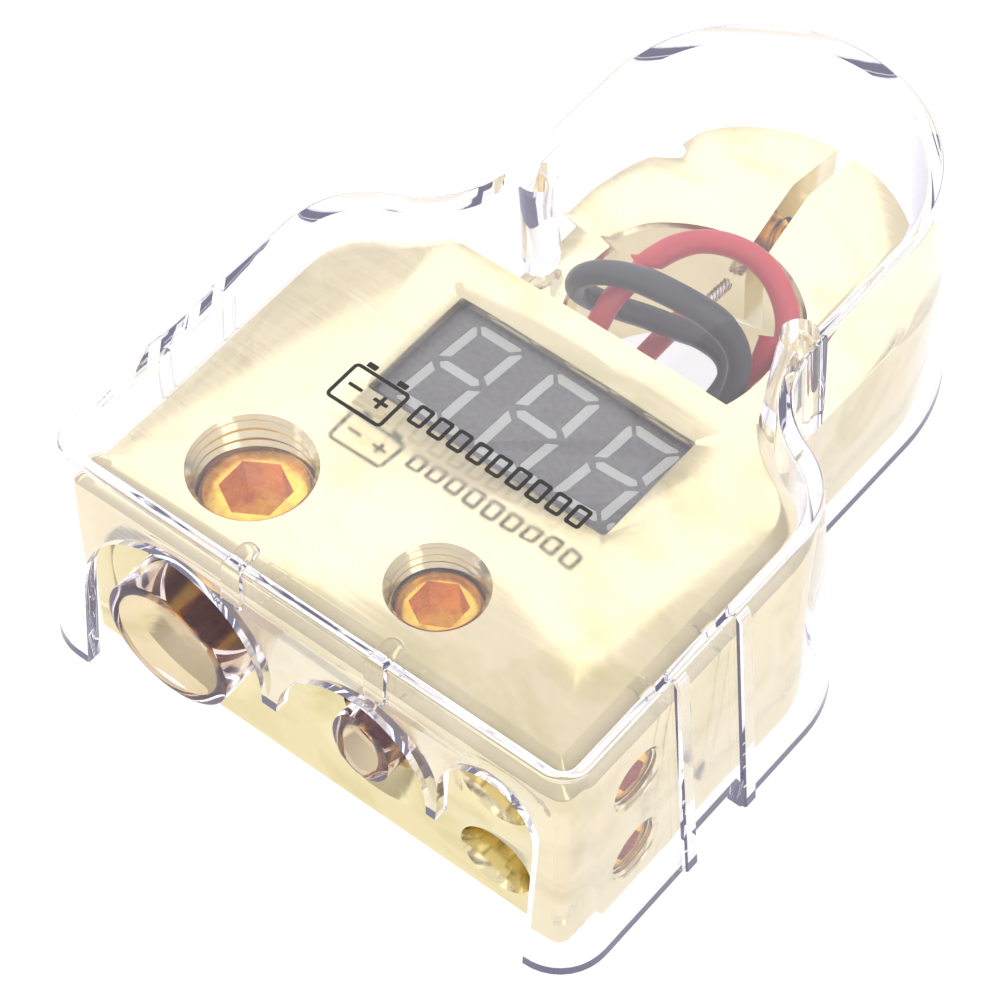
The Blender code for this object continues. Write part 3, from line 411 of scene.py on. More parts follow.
class Graph:
    """A short way to write a material's nodes."""

    def __init__(self, name: str) -> None:
        """Start a material with one Principled shader."""
        self.made = bpy.data.materials.new(name)
        self.made.use_nodes = True
        self.tree = self.made.node_tree
        self.shader = self.tree.nodes["Principled BSDF"]
        self.output = self.tree.nodes["Material Output"]

    def node(self, kind: str, **inputs: object) -> bpy.types.Node:
        """Add a node and set its inputs.

        Args:
            kind: the node's type name.
            **inputs: input values by name, with _ for a space.

        Returns:
            The node.
        """
        made = self.tree.nodes.new(kind)
        for name, value in inputs.items():
            made.inputs[name.replace("_", " ")].default_value = value
        return made

    def link(self, source: bpy.types.NodeSocket, target: bpy.types.NodeSocket) -> None:
        """Link two sockets."""
        self.tree.links.new(source, target)

    def base(self, colour: Colour, roughness: float, metallic: float = 0.0, **more: float) -> None:
        """Set the shader's plain values.

        Args:
            colour: base colour.
            roughness: roughness.
            metallic: metallic value.
            **more: further inputs by name, with _ for a space.
        """
        self.shader.inputs["Base Color"].default_value = (*colour, 1.0)
        self.shader.inputs["Roughness"].default_value = roughness
        self.shader.inputs["Metallic"].default_value = metallic
        for name, value in more.items():
            self.shader.inputs[name.replace("_", " ")].default_value = value

    def noise(self, scale: Point3, detail: float = 3.0, distortion: float = 0.0) -> bpy.types.NodeSocket:
        """Noise on Object coordinates.

        Args:
            scale: repeats per metre along each axis.
            detail: octaves.
            distortion: how far it is warped.

        Returns:
            The noise value's socket.
        """
        spot = self.tree.nodes.new("ShaderNodeTexCoord")
        mapping = self.node("ShaderNodeMapping", Scale=scale)
        self.link(spot.outputs["Object"], mapping.inputs["Vector"])
        noise = self.node("ShaderNodeTexNoise", Scale=1.0, Detail=detail, Distortion=distortion)
        self.link(mapping.outputs["Vector"], noise.inputs["Vector"])
        return noise.outputs["Fac"]

    def shades(self, value: bpy.types.NodeSocket, low: Colour, high: Colour,
               start: float = 0.35, end: float = 0.65) -> None:
        """Vary the base colour between two shades.

        Args:
            value: what picks the shade.
            low: shade at the start.
            high: shade at the end.
            start: value where the change starts.
            end: value where it ends.
        """
        ramp = self.tree.nodes.new("ShaderNodeValToRGB")
        first, last = ramp.color_ramp.elements
        first.position, first.color = start, (*low, 1.0)
        last.position, last.color = end, (*high, 1.0)
        self.link(value, ramp.inputs["Fac"])
        self.link(ramp.outputs["Color"], self.shader.inputs["Base Color"])

    def roughness(self, value: bpy.types.NodeSocket, low: float, high: float) -> None:
        """Vary the roughness between two values.

        Args:
            value: what picks the roughness.
            low: lowest roughness.
            high: highest roughness.
        """
        spread = self.node("ShaderNodeMapRange", From_Min=0.3, From_Max=0.7, To_Min=low, To_Max=high)
        self.link(value, spread.inputs["Value"])
        self.link(spread.outputs["Result"], self.shader.inputs["Roughness"])

    def bump(self, value: bpy.types.NodeSocket, distance: float, strength: float = 1.0) -> None:
        """Raise the surface a little by a value.

        Args:
            value: the height.
            distance: metres that it stands for.
            strength: share of it that shows.
        """
        bump = self.node("ShaderNodeBump", Strength=strength, Distance=distance)
        self.link(value, bump.inputs["Height"])
        self.link(bump.outputs["Normal"], self.shader.inputs["Normal"])


_made: dict[str, bpy.types.Material] = {}


@dataclass(frozen=True)
class Finish:
    """A finish; each kind draws its own nodes."""

    name: str

    def material(self) -> bpy.types.Material:
        """The finish's material, made once."""
        if self.name not in _made:
            graph = Graph(self.name)
            self.draw(graph)
            _made[self.name] = graph.made
        return _made[self.name]

    def draw(self, graph: Graph) -> None:
        """Draw the finish's nodes."""
        raise NotImplementedError


@dataclass(frozen=True)
class BrushedPlate(Finish):
    """Bright plating over a finely brushed face."""

    dark: Colour = (0.64, 0.56, 0.28)
    light: Colour = (0.81, 0.71, 0.44)
    smooth: float = 0.09
    rough: float = 0.19
    grain: Point3 = (60.0, 2600.0, 2600.0)

    def draw(self, graph: Graph) -> None:
        """Brush lines and faint clouding."""
        graph.base(self.light, self.smooth, 1.0)
        clouds = graph.noise((90, 140, 140), 4.0, 0.6)
        graph.shades(clouds, self.dark, self.light, 0.26, 0.50)
        lines = graph.noise(self.grain, 4.0)
        graph.roughness(lines, self.smooth, self.rough)
        graph.bump(lines, 0.000012, 0.35)


@dataclass(frozen=True)
class TurnedPlate(Finish):
    """Deeper gold inside a bore, with turning marks across its axis."""

    axis: Axis = Axis.Y
    dark: Colour = (0.72, 0.34, 0.03)
    light: Colour = (0.95, 0.58, 0.09)
    rings: float = 1500.0

    def draw(self, graph: Graph) -> None:
        """Fine rings round the bore, and streaks of darker plate."""
        graph.base(self.light, 0.2, 1.0)
        scale = tuple(self.rings if self.axis.value == name else 40.0 for name in "xyz")
        rings = graph.noise(scale, 3.0)
        graph.shades(graph.noise((220, 220, 220), 3.0, 0.5), self.dark, self.light, 0.3, 0.68)
        graph.roughness(rings, 0.14, 0.34)
        graph.bump(rings, 0.00003, 0.6)


@dataclass(frozen=True)
class Brass(Finish):
    """Bright orange brass of the screws."""

    dark: Colour = (0.74, 0.38, 0.03)
    light: Colour = (0.98, 0.64, 0.10)

    def draw(self, graph: Graph) -> None:
        """Small stains and nicks."""
        graph.base(self.light, 0.22, 1.0)
        stains = graph.noise((700, 700, 700), 5.0, 0.8)
        graph.shades(stains, self.dark, self.light, 0.32, 0.6)
        graph.roughness(stains, 0.16, 0.34)
        graph.bump(graph.noise((2500, 2500, 2500), 3.0), 0.000004, 0.4)


@dataclass(frozen=True)
class ClearMoulding(Finish):
    """Clear moulded plastic that lets light through to what it covers, with a faint painted glow."""

    tint: Colour = (0.965, 0.96, 0.99)
    gloss: float = 0.02
    bend: float = 1.49
    passes: float = 0.97
    ripple: float = 0.00001
    # painted_glow and painted_glow_strength: a faint self-lit tint on the surface, painted light that stands
    # for the light the clear walls carry to their edges
    painted_glow: Colour = (0.66, 0.62, 1.0)
    painted_glow_strength: float = 0.02

    def draw(self, graph: Graph) -> None:
        """Clear body, a faint mould ripple, a faint painted glow that stands for light carried along the
        walls to the edges, and light let through where it casts a shadow.
        """
        graph.base(self.tint, self.gloss, IOR=self.bend, Transmission_Weight=1.0,
                   Emission_Strength=self.painted_glow_strength)
        graph.shader.inputs["Emission Color"].default_value = (*self.painted_glow, 1.0)
        graph.bump(graph.noise((160, 160, 160), 2.0), self.ripple, 0.5)
        path = graph.tree.nodes.new("ShaderNodeLightPath")
        through = graph.node("ShaderNodeBsdfTransparent")
        through.inputs["Color"].default_value = (*(self.passes * part for part in self.tint), 1.0)
        mix = graph.node("ShaderNodeMixShader")
        graph.link(path.outputs["Is Shadow Ray"], mix.inputs["Fac"])
        graph.link(graph.shader.outputs["BSDF"], mix.inputs[1])
        graph.link(through.outputs["BSDF"], mix.inputs[2])
        graph.link(mix.outputs["Shader"], graph.output.inputs["Surface"])


@dataclass(frozen=True)
class Plastic(Finish):
    """Opaque plastic, rubber or paint with a fine grain."""

    colour: Colour = (0.1, 0.1, 0.1)
    shade: float = 0.8
    gloss: float = 0.35
    dull: float = 0.5
    grain: float = 1800.0
    depth: float = 0.0000015
    coat: float = 0.0

    def draw(self, graph: Graph) -> None:
        """Slight unevenness of colour, gloss and surface."""
        graph.base(self.colour, self.gloss, Coat_Weight=self.coat, Coat_Roughness=0.08)
        wide = graph.noise((self.grain / 8,) * 3, 3.0)
        graph.shades(wide, tuple(self.shade * part for part in self.colour), self.colour)
        fine = graph.noise((self.grain,) * 3, 4.0)
        graph.roughness(fine, self.gloss, self.dull)
        graph.bump(fine, self.depth, 0.5)


@dataclass(frozen=True)
class Tin(Finish):
    """Tinned or nickelled metal."""

    dark: Colour = (0.42, 0.40, 0.37)
    light: Colour = (0.86, 0.85, 0.82)

    def draw(self, graph: Graph) -> None:
        """Uneven tin over the metal."""
        graph.base(self.light, 0.25, 1.0)
        spots = graph.noise((1900, 1900, 1900), 4.0, 0.5)
        graph.shades(spots, self.dark, self.light, 0.3, 0.55)
        graph.roughness(spots, 0.16, 0.4)
        graph.bump(spots, 0.00004, 0.6)


@dataclass(frozen=True)
class Board(Finish):
    """Glass fibre board under green solder mask, with tracks below the mask."""

    mask: Colour = (0.012, 0.16, 0.06)
    track: Colour = (0.03, 0.26, 0.10)

    def draw(self, graph: Graph) -> None:
        """Tracks as broad stripes that show through the mask."""
        graph.base(self.mask, 0.3, Coat_Weight=0.4)
        tracks = graph.noise((900, 160, 160), 1.0)
        graph.shades(tracks, self.mask, self.track, 0.48, 0.52)
        graph.roughness(graph.noise((3000, 3000, 3000)), 0.25, 0.45)
        graph.bump(tracks, 0.00002, 0.4)


PLATE = BrushedPlate("champagne_gold_plate")
BORE_Y = TurnedPlate("turned_gold_across")
# Upright bores (the post bore and the plate screw holes) are the same gold, painted dark brown: painted shade
# and dark reflections deep inside the bore.
BORE_Z_PAINTED_SHADE = TurnedPlate("turned_gold_upright_painted_shade", Axis.Z, dark=(0.10, 0.05, 0.03), light=(0.44, 0.29, 0.18))
BORE_X = TurnedPlate("turned_gold_sideways", Axis.X)
THREAD = TurnedPlate("threaded_gold", Axis.Z, dark=(0.34, 0.15, 0.04), light=(0.88, 0.54, 0.24))
BRASS = Brass("screw_brass")
# Both clear finishes glow faintly with painted light: lavender on the cover, mauve on the sleeves.
CLEAR = ClearMoulding("clear_cover_plastic")
VINYL = ClearMoulding("soft_clear_vinyl", tint=(0.97, 0.93, 0.97), gloss=0.05, bend=1.2, passes=0.93,
                      ripple=0.000002, painted_glow=(0.62, 0.46, 0.66), painted_glow_strength=0.03)
# Opaque mauve on the sleeves' front end faces: painted shade that stands for the clear tinted vinyl seen
# end-on through its wall.
VINYL_END_PAINTED_SHADE = Plastic("cut_vinyl_end_painted_shade", (0.42, 0.31, 0.43), shade=0.9, gloss=0.3, dull=0.45, grain=900)
FACE = Plastic("display_mask_grey", (0.165, 0.16, 0.145), gloss=0.22, dull=0.34)
SEGMENT_WHITE = Plastic("unlit_segment", (0.60, 0.62, 0.55), shade=0.93, gloss=0.3, dull=0.45)
CASE = Plastic("display_case_black", (0.028, 0.028, 0.028))
RED = Plastic("red_lead_insulation", (0.74, 0.055, 0.06), shade=0.9, gloss=0.3, dull=0.42, coat=0.15)
BLACK = Plastic("black_lead_insulation", (0.035, 0.037, 0.036), gloss=0.3, dull=0.45, coat=0.15)
BUSH = Plastic("bush_rubber", (0.16, 0.16, 0.16), gloss=0.6, dull=0.8)
BLUE = Plastic("trimmer_blue_plastic", (0.02, 0.14, 0.46))
TAN = Plastic("ceramic_tan", (0.52, 0.34, 0.17), grain=4000)
INK = Plastic("cover_ink", (0.02, 0.017, 0.015), gloss=0.4, dull=0.6)
TINNED = Tin("tinned_copper")
MASK = Board("green_solder_mask")


# ---- casting ---------------------------------------------------------------------------------


@dataclass
class Plan:
    """Plan outline that the casting and its cover share: block, hollow waist, half-round ring."""

    half: float = 22.9
    front: float = CASTING_FRONT
    shoulder: float = 6.4
    shoulder_y: float = -3.0
    waist: float = 10.6
    ring_half: float = 13.8
    ring_y: float = 24.6
    corner: float = 0.9

    def outline(self, half: float, front: float, ring: float, waist: float, corner: float) -> list[Point2]:
        """Outline with the given sizes.

        Args:
            half: half width of the block.
            front: distance of its front from the origin.
            ring: half width of the ring.
            waist: radius of the hollow fillet.
            corner: radius of the front corners.

        Returns:
            The outline's points.
        """
        shoulder_x = self.half - self.shoulder
        shoulder = half - shoulder_x
        waist_x = ring + waist
        reach = shoulder + waist
        waist_y = self.shoulder_y + math.sqrt(reach ** 2 - (waist_x - shoulder_x) ** 2)
        meet = math.atan2(waist_y - self.shoulder_y, waist_x - shoulder_x)
        side = arc((half - corner, -front + corner), corner, -math.pi / 2, 0, 10)
        side += arc((shoulder_x, self.shoulder_y), shoulder, 0, meet, 3)
        side += arc((waist_x, waist_y), waist, meet + math.pi, math.pi, 3)[1:]
        side += arc((0, self.ring_y), ring, 0, math.pi / 2, 3)
        return side + [(-x, y) for x, y in reversed(side[:-1])]

    def inset(self, inset: float) -> list[Point2]:
        """The casting's outline, drawn in by a distance.

        Args:
            inset: the distance.

        Returns:
            The outline's points.
        """
        corner = max(self.corner - inset, 0.05)
        return self.outline(self.half - inset, self.front - inset, self.ring_half - inset,
                            self.waist + inset, corner)


@dataclass
class WireBore:
    """A wire bore in the front face, with its set screw."""

    label: str
    x: float
    z: float
    bore: float
    mouth: float
    thread: float


@dataclass
class Casting:
    """Block and ring in one casting, worked with every bore, bay and slot."""

    plan: Plan = field(default_factory=Plan)
    height: float = 21.0
    rear: float = 5.0
    chamfer: float = 1.45
    edge: float = 0.14
    foot: float = 0.6
    ring_height: float = 12.7
    ring_fall: float = 1.1
    seat_r: float = 12.4
    seat_x: float = 2.3
    seat_y: float = 19.0
    post_r: float = 9.2
    post_y: float = 15.3
    slot: float = 1.75
    screw_y: float = -21.5
    bore_depth: float = 15.2
    mouth_depth: float = 1.8
    thread_depth: float = 0.32
    window: Point2 = (0.86, -4.75)
    window_size: Point2 = (22.3, 11.1)
    rim: float = 0.2
    skin: float = 0.8
    lap: float = 1.35
    plate_lap: float = 4.6
    bores: tuple[WireBore, ...] = (
        WireBore("large", -12.1, 10.2, 6.2, 8.1, 4.75), WireBore("medium", 5.5, 10.2, 4.6, 6.4, 3.7),
        WireBore("lower", 16.7, 5.0, 2.6, 3.3, 2.5), WireBore("upper", 16.7, 14.3, 2.6, 3.3, 2.5))

    def body(self) -> BMesh:
        """The blank: foot chamfer, upright walls and a chamfered, slightly eased top edge."""
        plan, top = self.plan, self.height
        low = top - self.chamfer
        ease = self.edge
        slope = ease / math.sqrt(2)
        return stacked([(plan.inset(self.foot), 0), (plan.inset(0), self.foot),
                        (plan.inset(0), low - ease), (plan.inset(slope * 0.3), low - ease * 0.3),
                        (plan.inset(slope), low + slope), (plan.inset(self.chamfer - slope), top - slope),
                        (plan.inset(self.chamfer), top - ease * 0.1), (plan.inset(self.chamfer + ease), top)])

    def seat_outline(self, half: float, centre: Point2) -> list[Point2]:
        """Straight-sided outline with a half-round rear, from inside the block."""
        start = self.rear - 1
        points = [(centre[0] + half, start)]
        points += arc(centre, half, 0, math.pi, 3)
        return points + [(centre[0] - half, start)]

    def above_ring(self) -> BMesh:
        """Tool body for all that goes above the ring's crowned top."""
        edge_z = self.ring_height - self.ring_fall
        beyond = self.plan.ring_half + 0.3
        blank = block((-50, self.rear, edge_z), (50, 80, 50))
        outer = self.seat_outline(beyond, (0, self.plan.ring_y))
        inner = self.seat_outline(self.seat_r, (self.seat_x, self.seat_y))
        crown = stacked([(outer, edge_z - 1), (outer, edge_z), (inner, self.ring_height)])
        return worked(blank, [(Work.CUT, crown, 0)])

    def wire_tools(self) -> list[tuple[Work, BMesh, int]]:
        """Tool bodies of the wire bores and of the threads that meet them."""
        tools = []
        for bore in self.bores:
            flare = (bore.mouth - bore.bore) / self.mouth_depth
            profile = [(-OVERRUN, 0), (-OVERRUN, bore.mouth + flare * OVERRUN + 0.3),
                       (-0.001, bore.mouth + 0.16), (0.1, bore.mouth - 0.02), (self.mouth_depth, bore.bore),
                       (self.bore_depth, bore.bore), (self.bore_depth + bore.bore * 0.3, 0)]
            tools.append((Work.CUT, turned(profile, (bore.x, -self.plan.front, bore.z), Axis.Y), 1))
        for bore in self.bores:
            upright = bore.label in ("large", "medium")
            axis = Axis.Z if upright else Axis.X
            start = (bore.x, self.screw_y, bore.z) if upright else (bore.x - 0.65, self.screw_y, bore.z)
            reach = self.height - bore.z if upright else self.plan.half - start[0]
            root = bore.thread - self.thread_depth * 0.4
            crest = bore.thread + self.thread_depth * 0.6
            tools.append((Work.CUT, threaded(root, crest, 0, reach + OVERRUN,
                                             UPRIGHT_PITCH if upright else SIDE_PITCH, start, axis),
                          4 if upright else 3))
            ease = [(reach - 0.45, 0), (reach - 0.45, root), (reach, crest + 0.1),
                    (reach + OVERRUN, crest + 0.6), (reach + OVERRUN, 0)]
            tools.append((Work.CUT, turned(ease, start, axis, ROUND + 4), 4 if upright else 3))
        return tools

    def bay_tools(self) -> list[tuple[Work, BMesh, int]]:
        """Tool bodies of the bay, the window and the closing plate's rebate."""
        x, y = self.window
        half_x, half_y = self.window_size[0] / 2, self.window_size[1] / 2
        lap_x, lap_y = half_x + self.lap, half_y + self.lap
        bay_top = self.height - self.skin
        plate_x, plate_y = lap_x + self.plate_lap + 0.3, lap_y + 0.6
        rim = self.rim

        def around(margin: float) -> list[Point2]:
            """Corners of the window, moved outward."""
            return rounded_box((x - half_x - margin, y - half_y - margin),
                               (x + half_x + margin, y + half_y + margin), 0.25 + margin)

        tools = [(Work.CUT, block((x - lap_x, y - lap_y, -1), (x + lap_x, y + lap_y, bay_top)), 0),
                 (Work.CUT, block((x - plate_x, y - plate_y, -1.2), (x + plate_x, y + plate_y, 2.3)), 0),
                 (Work.CUT, stacked([(around(0), bay_top - 1), (around(0), self.height - rim),
                                     (around(rim * 0.3), self.height - rim * 0.4),
                                     (around(rim), self.height), (around(rim), self.height + 1)]), 0)]
        for side in (-1, 1):
            spot = (x + side * (lap_x + self.plate_lap / 2), y, -1)
            # The plate screw holes take slot 2, the upright-bore gold with painted shade.
            tools.append((Work.CUT, rod(8, 1.4, spot, Axis.Z, 32), 2))
        for port_x in (-3.9, 1.5):
            start = y + lap_y - 1
            tools.append((Work.CUT, rod(self.post_y - start, 2.0, (port_x, start, 7.6), Axis.Y, 48), 1))
        return tools

    def ring_tools(self) -> list[tuple[Work, BMesh, int]]:
        """Tool bodies of the post bore, the slot and the clamp bolt's bore."""
        ease, top = 0.35, self.ring_height
        post = [(-1, 0), (-1, self.post_r), (top - ease, self.post_r),
                (top, self.post_r + ease * 0.8), (top + 1, self.post_r + 1.6), (top + 1, 0)]
        half = self.slot / 2
        # The post bore takes slot 2, the upright-bore gold painted dark as shade in the bore.
        return [(Work.CUT, turned(post, (0, self.post_y, 0), Axis.Z, 128), 2),
                (Work.CUT, block((-half, self.post_y, -1), (half, 60, top + 1.1)), 1),
                (Work.CUT, rod(13.5, 3.7, (-20, 29.0, 8.2), Axis.X, 64), 3),
                (Work.CUT, rod(17.1, 2.3, (-7.5, 29.0, 8.2), Axis.X, 48), 3)]

    def build(self) -> bpy.types.Object:
        """Work the casting and place it.

        Returns:
            The casting.
        """
        steps = [(Work.CUT, self.above_ring(), 0)]
        steps += self.ring_tools() + self.wire_tools() + self.bay_tools()
        finishes = (PLATE, BORE_Y, BORE_Z_PAINTED_SHADE, BORE_X, THREAD)
        return place_piece("gold_terminal_casting", worked(self.body(), steps), finishes,
                           "root", ("terminal_casting",))


# ---- screws ----------------------------------------------------------------------------------


@dataclass
class SetScrew:
    """A headless screw with a thread, eased ends and a hexagon socket."""

    name: str
    node: str
    body: str
    radius: float
    length: float
    key: float
    axis: Axis
    pitch: float = UPRIGHT_PITCH
    depth: float = 0.35
    ease: float = 0.45
    point: float = 0.5

    def build(self, start: Point3) -> bpy.types.Object:
        """Cut the screw and place it.

        Args:
            start: centre of its inner end.

        Returns:
            The screw.
        """
        length, radius, ease = self.length, self.radius, self.ease
        thread = threaded(radius - self.depth, radius, 0, length, self.pitch, start, self.axis)
        outside = turned([(0, 0), (0, radius - self.depth - ease * 0.6), (ease, radius + 0.01),
                          (length - ease, radius + 0.01), (length - 0.05, radius - self.depth * 0.9),
                          (length, radius - self.depth - 0.06), (length, 0)], start, self.axis)
        floor = Vector(start) + self.axis.turn() @ Vector((0, 0, length * 0.42))
        socket = hexagon(length, self.key, self.point, tuple(floor), self.axis)
        shape = worked(thread, [(Work.KEEP, outside, 0), (Work.CUT, socket, 0)])
        return place_piece(self.name, shape, (BRASS,), self.body, (self.node,))


@dataclass
class Fasteners:
    """The four set screws and the bolt that closes the ring."""

    casting: Casting
    recess: float = 2.4
    side_recess: float = 0.9
    upright_depth: float = 0.35
    side_depth: float = 0.25
    air: float = 0.3
    bolt_y: float = 29.0
    bolt_z: float = 8.2

    def build(self) -> None:
        """Make every screw."""
        sizes = {"large": (7.6, 5.0), "medium": (7.2, 4.0), "lower": (4.0, 2.5), "upper": (4.0, 2.5)}
        for bore in self.casting.bores:
            length, key = sizes[bore.label]
            upright = bore.label in ("large", "medium")
            if upright:
                start = (bore.x, self.casting.screw_y, self.casting.height - self.recess - length)
                node, body = f"{bore.label}_set_screw", f"{bore.label}_screw"
            else:
                start = (self.casting.plan.half - self.side_recess - length, self.casting.screw_y, bore.z)
                node, body = f"{bore.label}_side_set_screw", f"{bore.label}_side_screw"
            screw = SetScrew(f"threaded_{node}", node, body, bore.thread - self.air, length, key,
                             Axis.Z if upright else Axis.X, UPRIGHT_PITCH if upright else SIDE_PITCH,
                             self.upright_depth if upright else self.side_depth)
            screw.build(start)
        self.clamp_bolt()

    def clamp_bolt(self) -> bpy.types.Object:
        """Socket head bolt across the slot.

        Returns:
            The bolt.
        """
        start = (-6.8, self.bolt_y, self.bolt_z)
        head = turned([(-3.6, 0), (-3.6, 3.05), (-3.25, 3.4), (-0.2, 3.4), (0, 3.25), (0, 2), (4.2, 2),
                       (4.2, 0)], start, Axis.X, 64)
        thread = threaded(1.68, 2.0, 4.0, 15.2, 0.7, start, Axis.X)
        socket = hexagon(4, 3.0, 0.3, (start[0] - 1.4, start[1], start[2]), Axis.X)
        bmesh.ops.rotate(socket, cent=(start[0] - 1.4, start[1], start[2]), verts=socket.verts,
                         matrix=Matrix.Rotation(math.pi, 3, "Z"))
        shape = worked(head, [(Work.JOIN, thread, 0), (Work.CUT, socket, 0)])
        return place_piece("threaded_clamp_bolt", shape, (BRASS,), "clamp", ("clamp_bolt",))


# ---- sleeves ---------------------------------------------------------------------------------


@dataclass
class Sleeve:
    """A short clear tube in a wire bore; a squeeze makes it an upright oval."""

    label: str
    x: float
    radius: float
    proud: float
    stop: float
    squeeze: float = 0.0
    wall: float = 1.05
    z: float = 10.2
    edge: float = 0.14
    end_facing: float = -0.95

    def build(self) -> bpy.types.Object:
        """Turn the tube with eased rims and place it.

        Returns:
            The sleeve.
        """
        start = -CASTING_FRONT - self.proud
        length, outer, inner, edge = self.stop - start, self.radius, self.radius - self.wall, self.edge
        ring = [(0, inner + edge), (0, outer - edge), (edge * 0.3, outer - edge * 0.3), (edge, outer),
                (length - edge, outer), (length, outer - edge), (length, inner + edge),
                (length - edge, inner), (edge, inner), (edge * 0.3, inner + edge * 0.3),
                (0, inner + edge)]
        bm = turned(ring, (0, 0, 0), Axis.Y)
        for vert in bm.verts:
            across = math.hypot(vert.co.x, vert.co.z)
            vert.co.x -= self.squeeze * vert.co.x / across
        bmesh.ops.translate(bm, vec=(self.x, start, self.z), verts=bm.verts)
        # Faces that face the front, the cut ends, take the opaque mauve of painted shade; the rest stays
        # clear vinyl.
        for face in bm.faces:
            face.material_index = int(face.normal.y < self.end_facing)
        name = f"{self.label}_wire_sleeve"
        return place_piece(f"clear_{name}", bm, (VINYL, VINYL_END_PAINTED_SHADE), f"{self.label}_sleeve",
                           (name,))


# ---- voltmeter -------------------------------------------------------------------------------


@dataclass
class Display:
    """Three-digit display: mask with open segments and the light guides that fill them."""

    casting: Casting
    digits: int = 3
    middle: Point2 = (1.26, -4.44)
    pitch: float = 7.53
    height: float = 9.55
    width: float = 4.9
    slant: float = math.radians(4.4)
    bar: float = 0.87
    mitre: float = 0.2
    chamfer: float = 0.22
    point: float = 0.05
    shoulder: tuple[float, float] = (0.33, 0.87)
    dot_x: float = 3.25
    dot_r: float = 0.47
    lead: float = 3.05
    thick: float = 0.6
    guide: float = 1.4
    air: float = 0.3
    fit: float = 0.02

    def bars(self) -> list[tuple[Point2, Point2, str, str, int]]:
        """Bars of an upright digit: start, end, kind of each end and the side that faces out."""
        right, high = (self.width - self.bar) / 2, (self.height - self.bar) / 2
        left, low, mid = -right, -high, 0.0
        return [((left, high), (right, high), "mitre", "mitre", 1),
                ((left, low), (right, low), "mitre", "mitre", -1),
                ((left, mid), (right, mid), "point", "point", 1),
                ((left, high), (left, mid), "mitre", "middle", -1),
                ((left, low), (left, mid), "mitre", "middle", 1),
                ((right, high), (right, mid), "mitre", "middle", 1),
                ((right, low), (right, mid), "mitre", "middle", -1)]

    def bar_end(self, kind: str, outer: int, draw_in: float) -> list[Point2]:
        """Corners of one bar end as (along, across), from the right of the bar to its left."""
        half = self.bar / 2
        if kind == "point":
            corners = [(half + self.point, -half), (self.point, 0), (half + self.point, half)]
        elif kind == "middle":
            corners = [(self.shoulder[0], outer * half), (self.shoulder[1], -outer * half)]
        else:
            corners = [(self.mitre - half + 2 * self.chamfer, outer * half),
                       (self.mitre - half + self.chamfer, outer * (half - self.chamfer)),
                       (self.mitre + half, -outer * half)]
        ordered = sorted(corners, key=lambda corner: corner[1])
        share = 1 - draw_in / half
        return [(along + draw_in, across * share) for along, across in ordered]

    def bar_outline(self, bar: tuple[Point2, Point2, str, str, int], x: float,
                    draw_in: float) -> list[Point2]:
        """Outline of a bar in its place, leaning with its digit.

        Args:
            bar: one of the bars of bars().
            x: centre of the digit.
            draw_in: how far it is drawn in.

        Returns:
            The outline's points.
        """
        start, end, start_kind, end_kind, outer = bar
        first, last = Vector(start), Vector(end)
        along = (last - first).normalized()
        across = Vector((-along.y, along.x))
        corners = [first + along * run + across * side
                   for run, side in self.bar_end(start_kind, outer, draw_in)]
        corners += [last - along * run + across * side
                    for run, side in reversed(self.bar_end(end_kind, outer, draw_in))]
        return [(x + p.x + p.y * math.tan(self.slant), self.middle[1] + p.y) for p in corners]

    def digit_x(self, index: int) -> float:
        """Centre of a digit."""
        return self.middle[0] + (index - (self.digits - 1) / 2) * self.pitch

    def segments(self, index: int, low: float, high: float, draw_in: float) -> list[BMesh]:
        """Bodies of a digit's bars and its decimal point.

        Args:
            index: which digit.
            low: underside.
            high: top.
            draw_in: how far each is drawn in.

        Returns:
            One body for each segment.
        """
        x = self.digit_x(index)
        bodies = []
        for bar in self.bars():
            outline = self.bar_outline(bar, x, draw_in)
            bodies.append(stacked([(outline, low), (outline, high)]))
        dot_y = -(self.height - self.bar) / 2
        spot = (x + self.dot_x + dot_y * math.tan(self.slant), self.middle[1] + dot_y, low)
        bodies.append(rod(high - low, self.dot_r - draw_in, spot, Axis.Z, 32))
        return bodies

    def build(self) -> None:
        """Make the mask and each digit's light guide."""
        casting = self.casting
        x, y = casting.window
        half_x = casting.window_size[0] / 2 + casting.lap - 2 * self.air
        half_y = casting.window_size[1] / 2 + casting.lap - 2 * self.air
        top = casting.height - casting.skin - self.air
        low = top - self.thick
        mask = block((x - half_x, y - half_y, low), (x + half_x, y + half_y, top), 0.05)
        cuts = [(Work.CUT, body, 0) for index in range(self.digits)
                for body in self.segments(index, low - 1, top + 1, 0)]
        place_piece("display_mask", worked(mask, cuts), (FACE,), "root", ("display_face",))
        pocket_x, pocket_y = half_x - 2 * self.air, half_y - 2 * self.air
        lefts = [x - pocket_x + self.air] + [self.digit_x(i) - self.lead for i in range(1, self.digits)]
        rights = [left - self.air for left in lefts[1:]] + [x + pocket_x - self.air]
        for index, (left, right) in enumerate(zip(lefts, rights)):
            under = low - self.air
            body = block((left, y - pocket_y + self.air, under - self.guide),
                         (right, y + pocket_y - self.air, under), 0.05)
            bars = [(Work.JOIN, bar, 0) for bar in self.segments(index, under - 0.2, top - 0.03, self.fit)]
            place_piece(f"digit_{index + 1}_light_guide", worked(body, bars), (SEGMENT_WHITE,), "root",
                        (f"digit_{index + 1}_diffuser",))


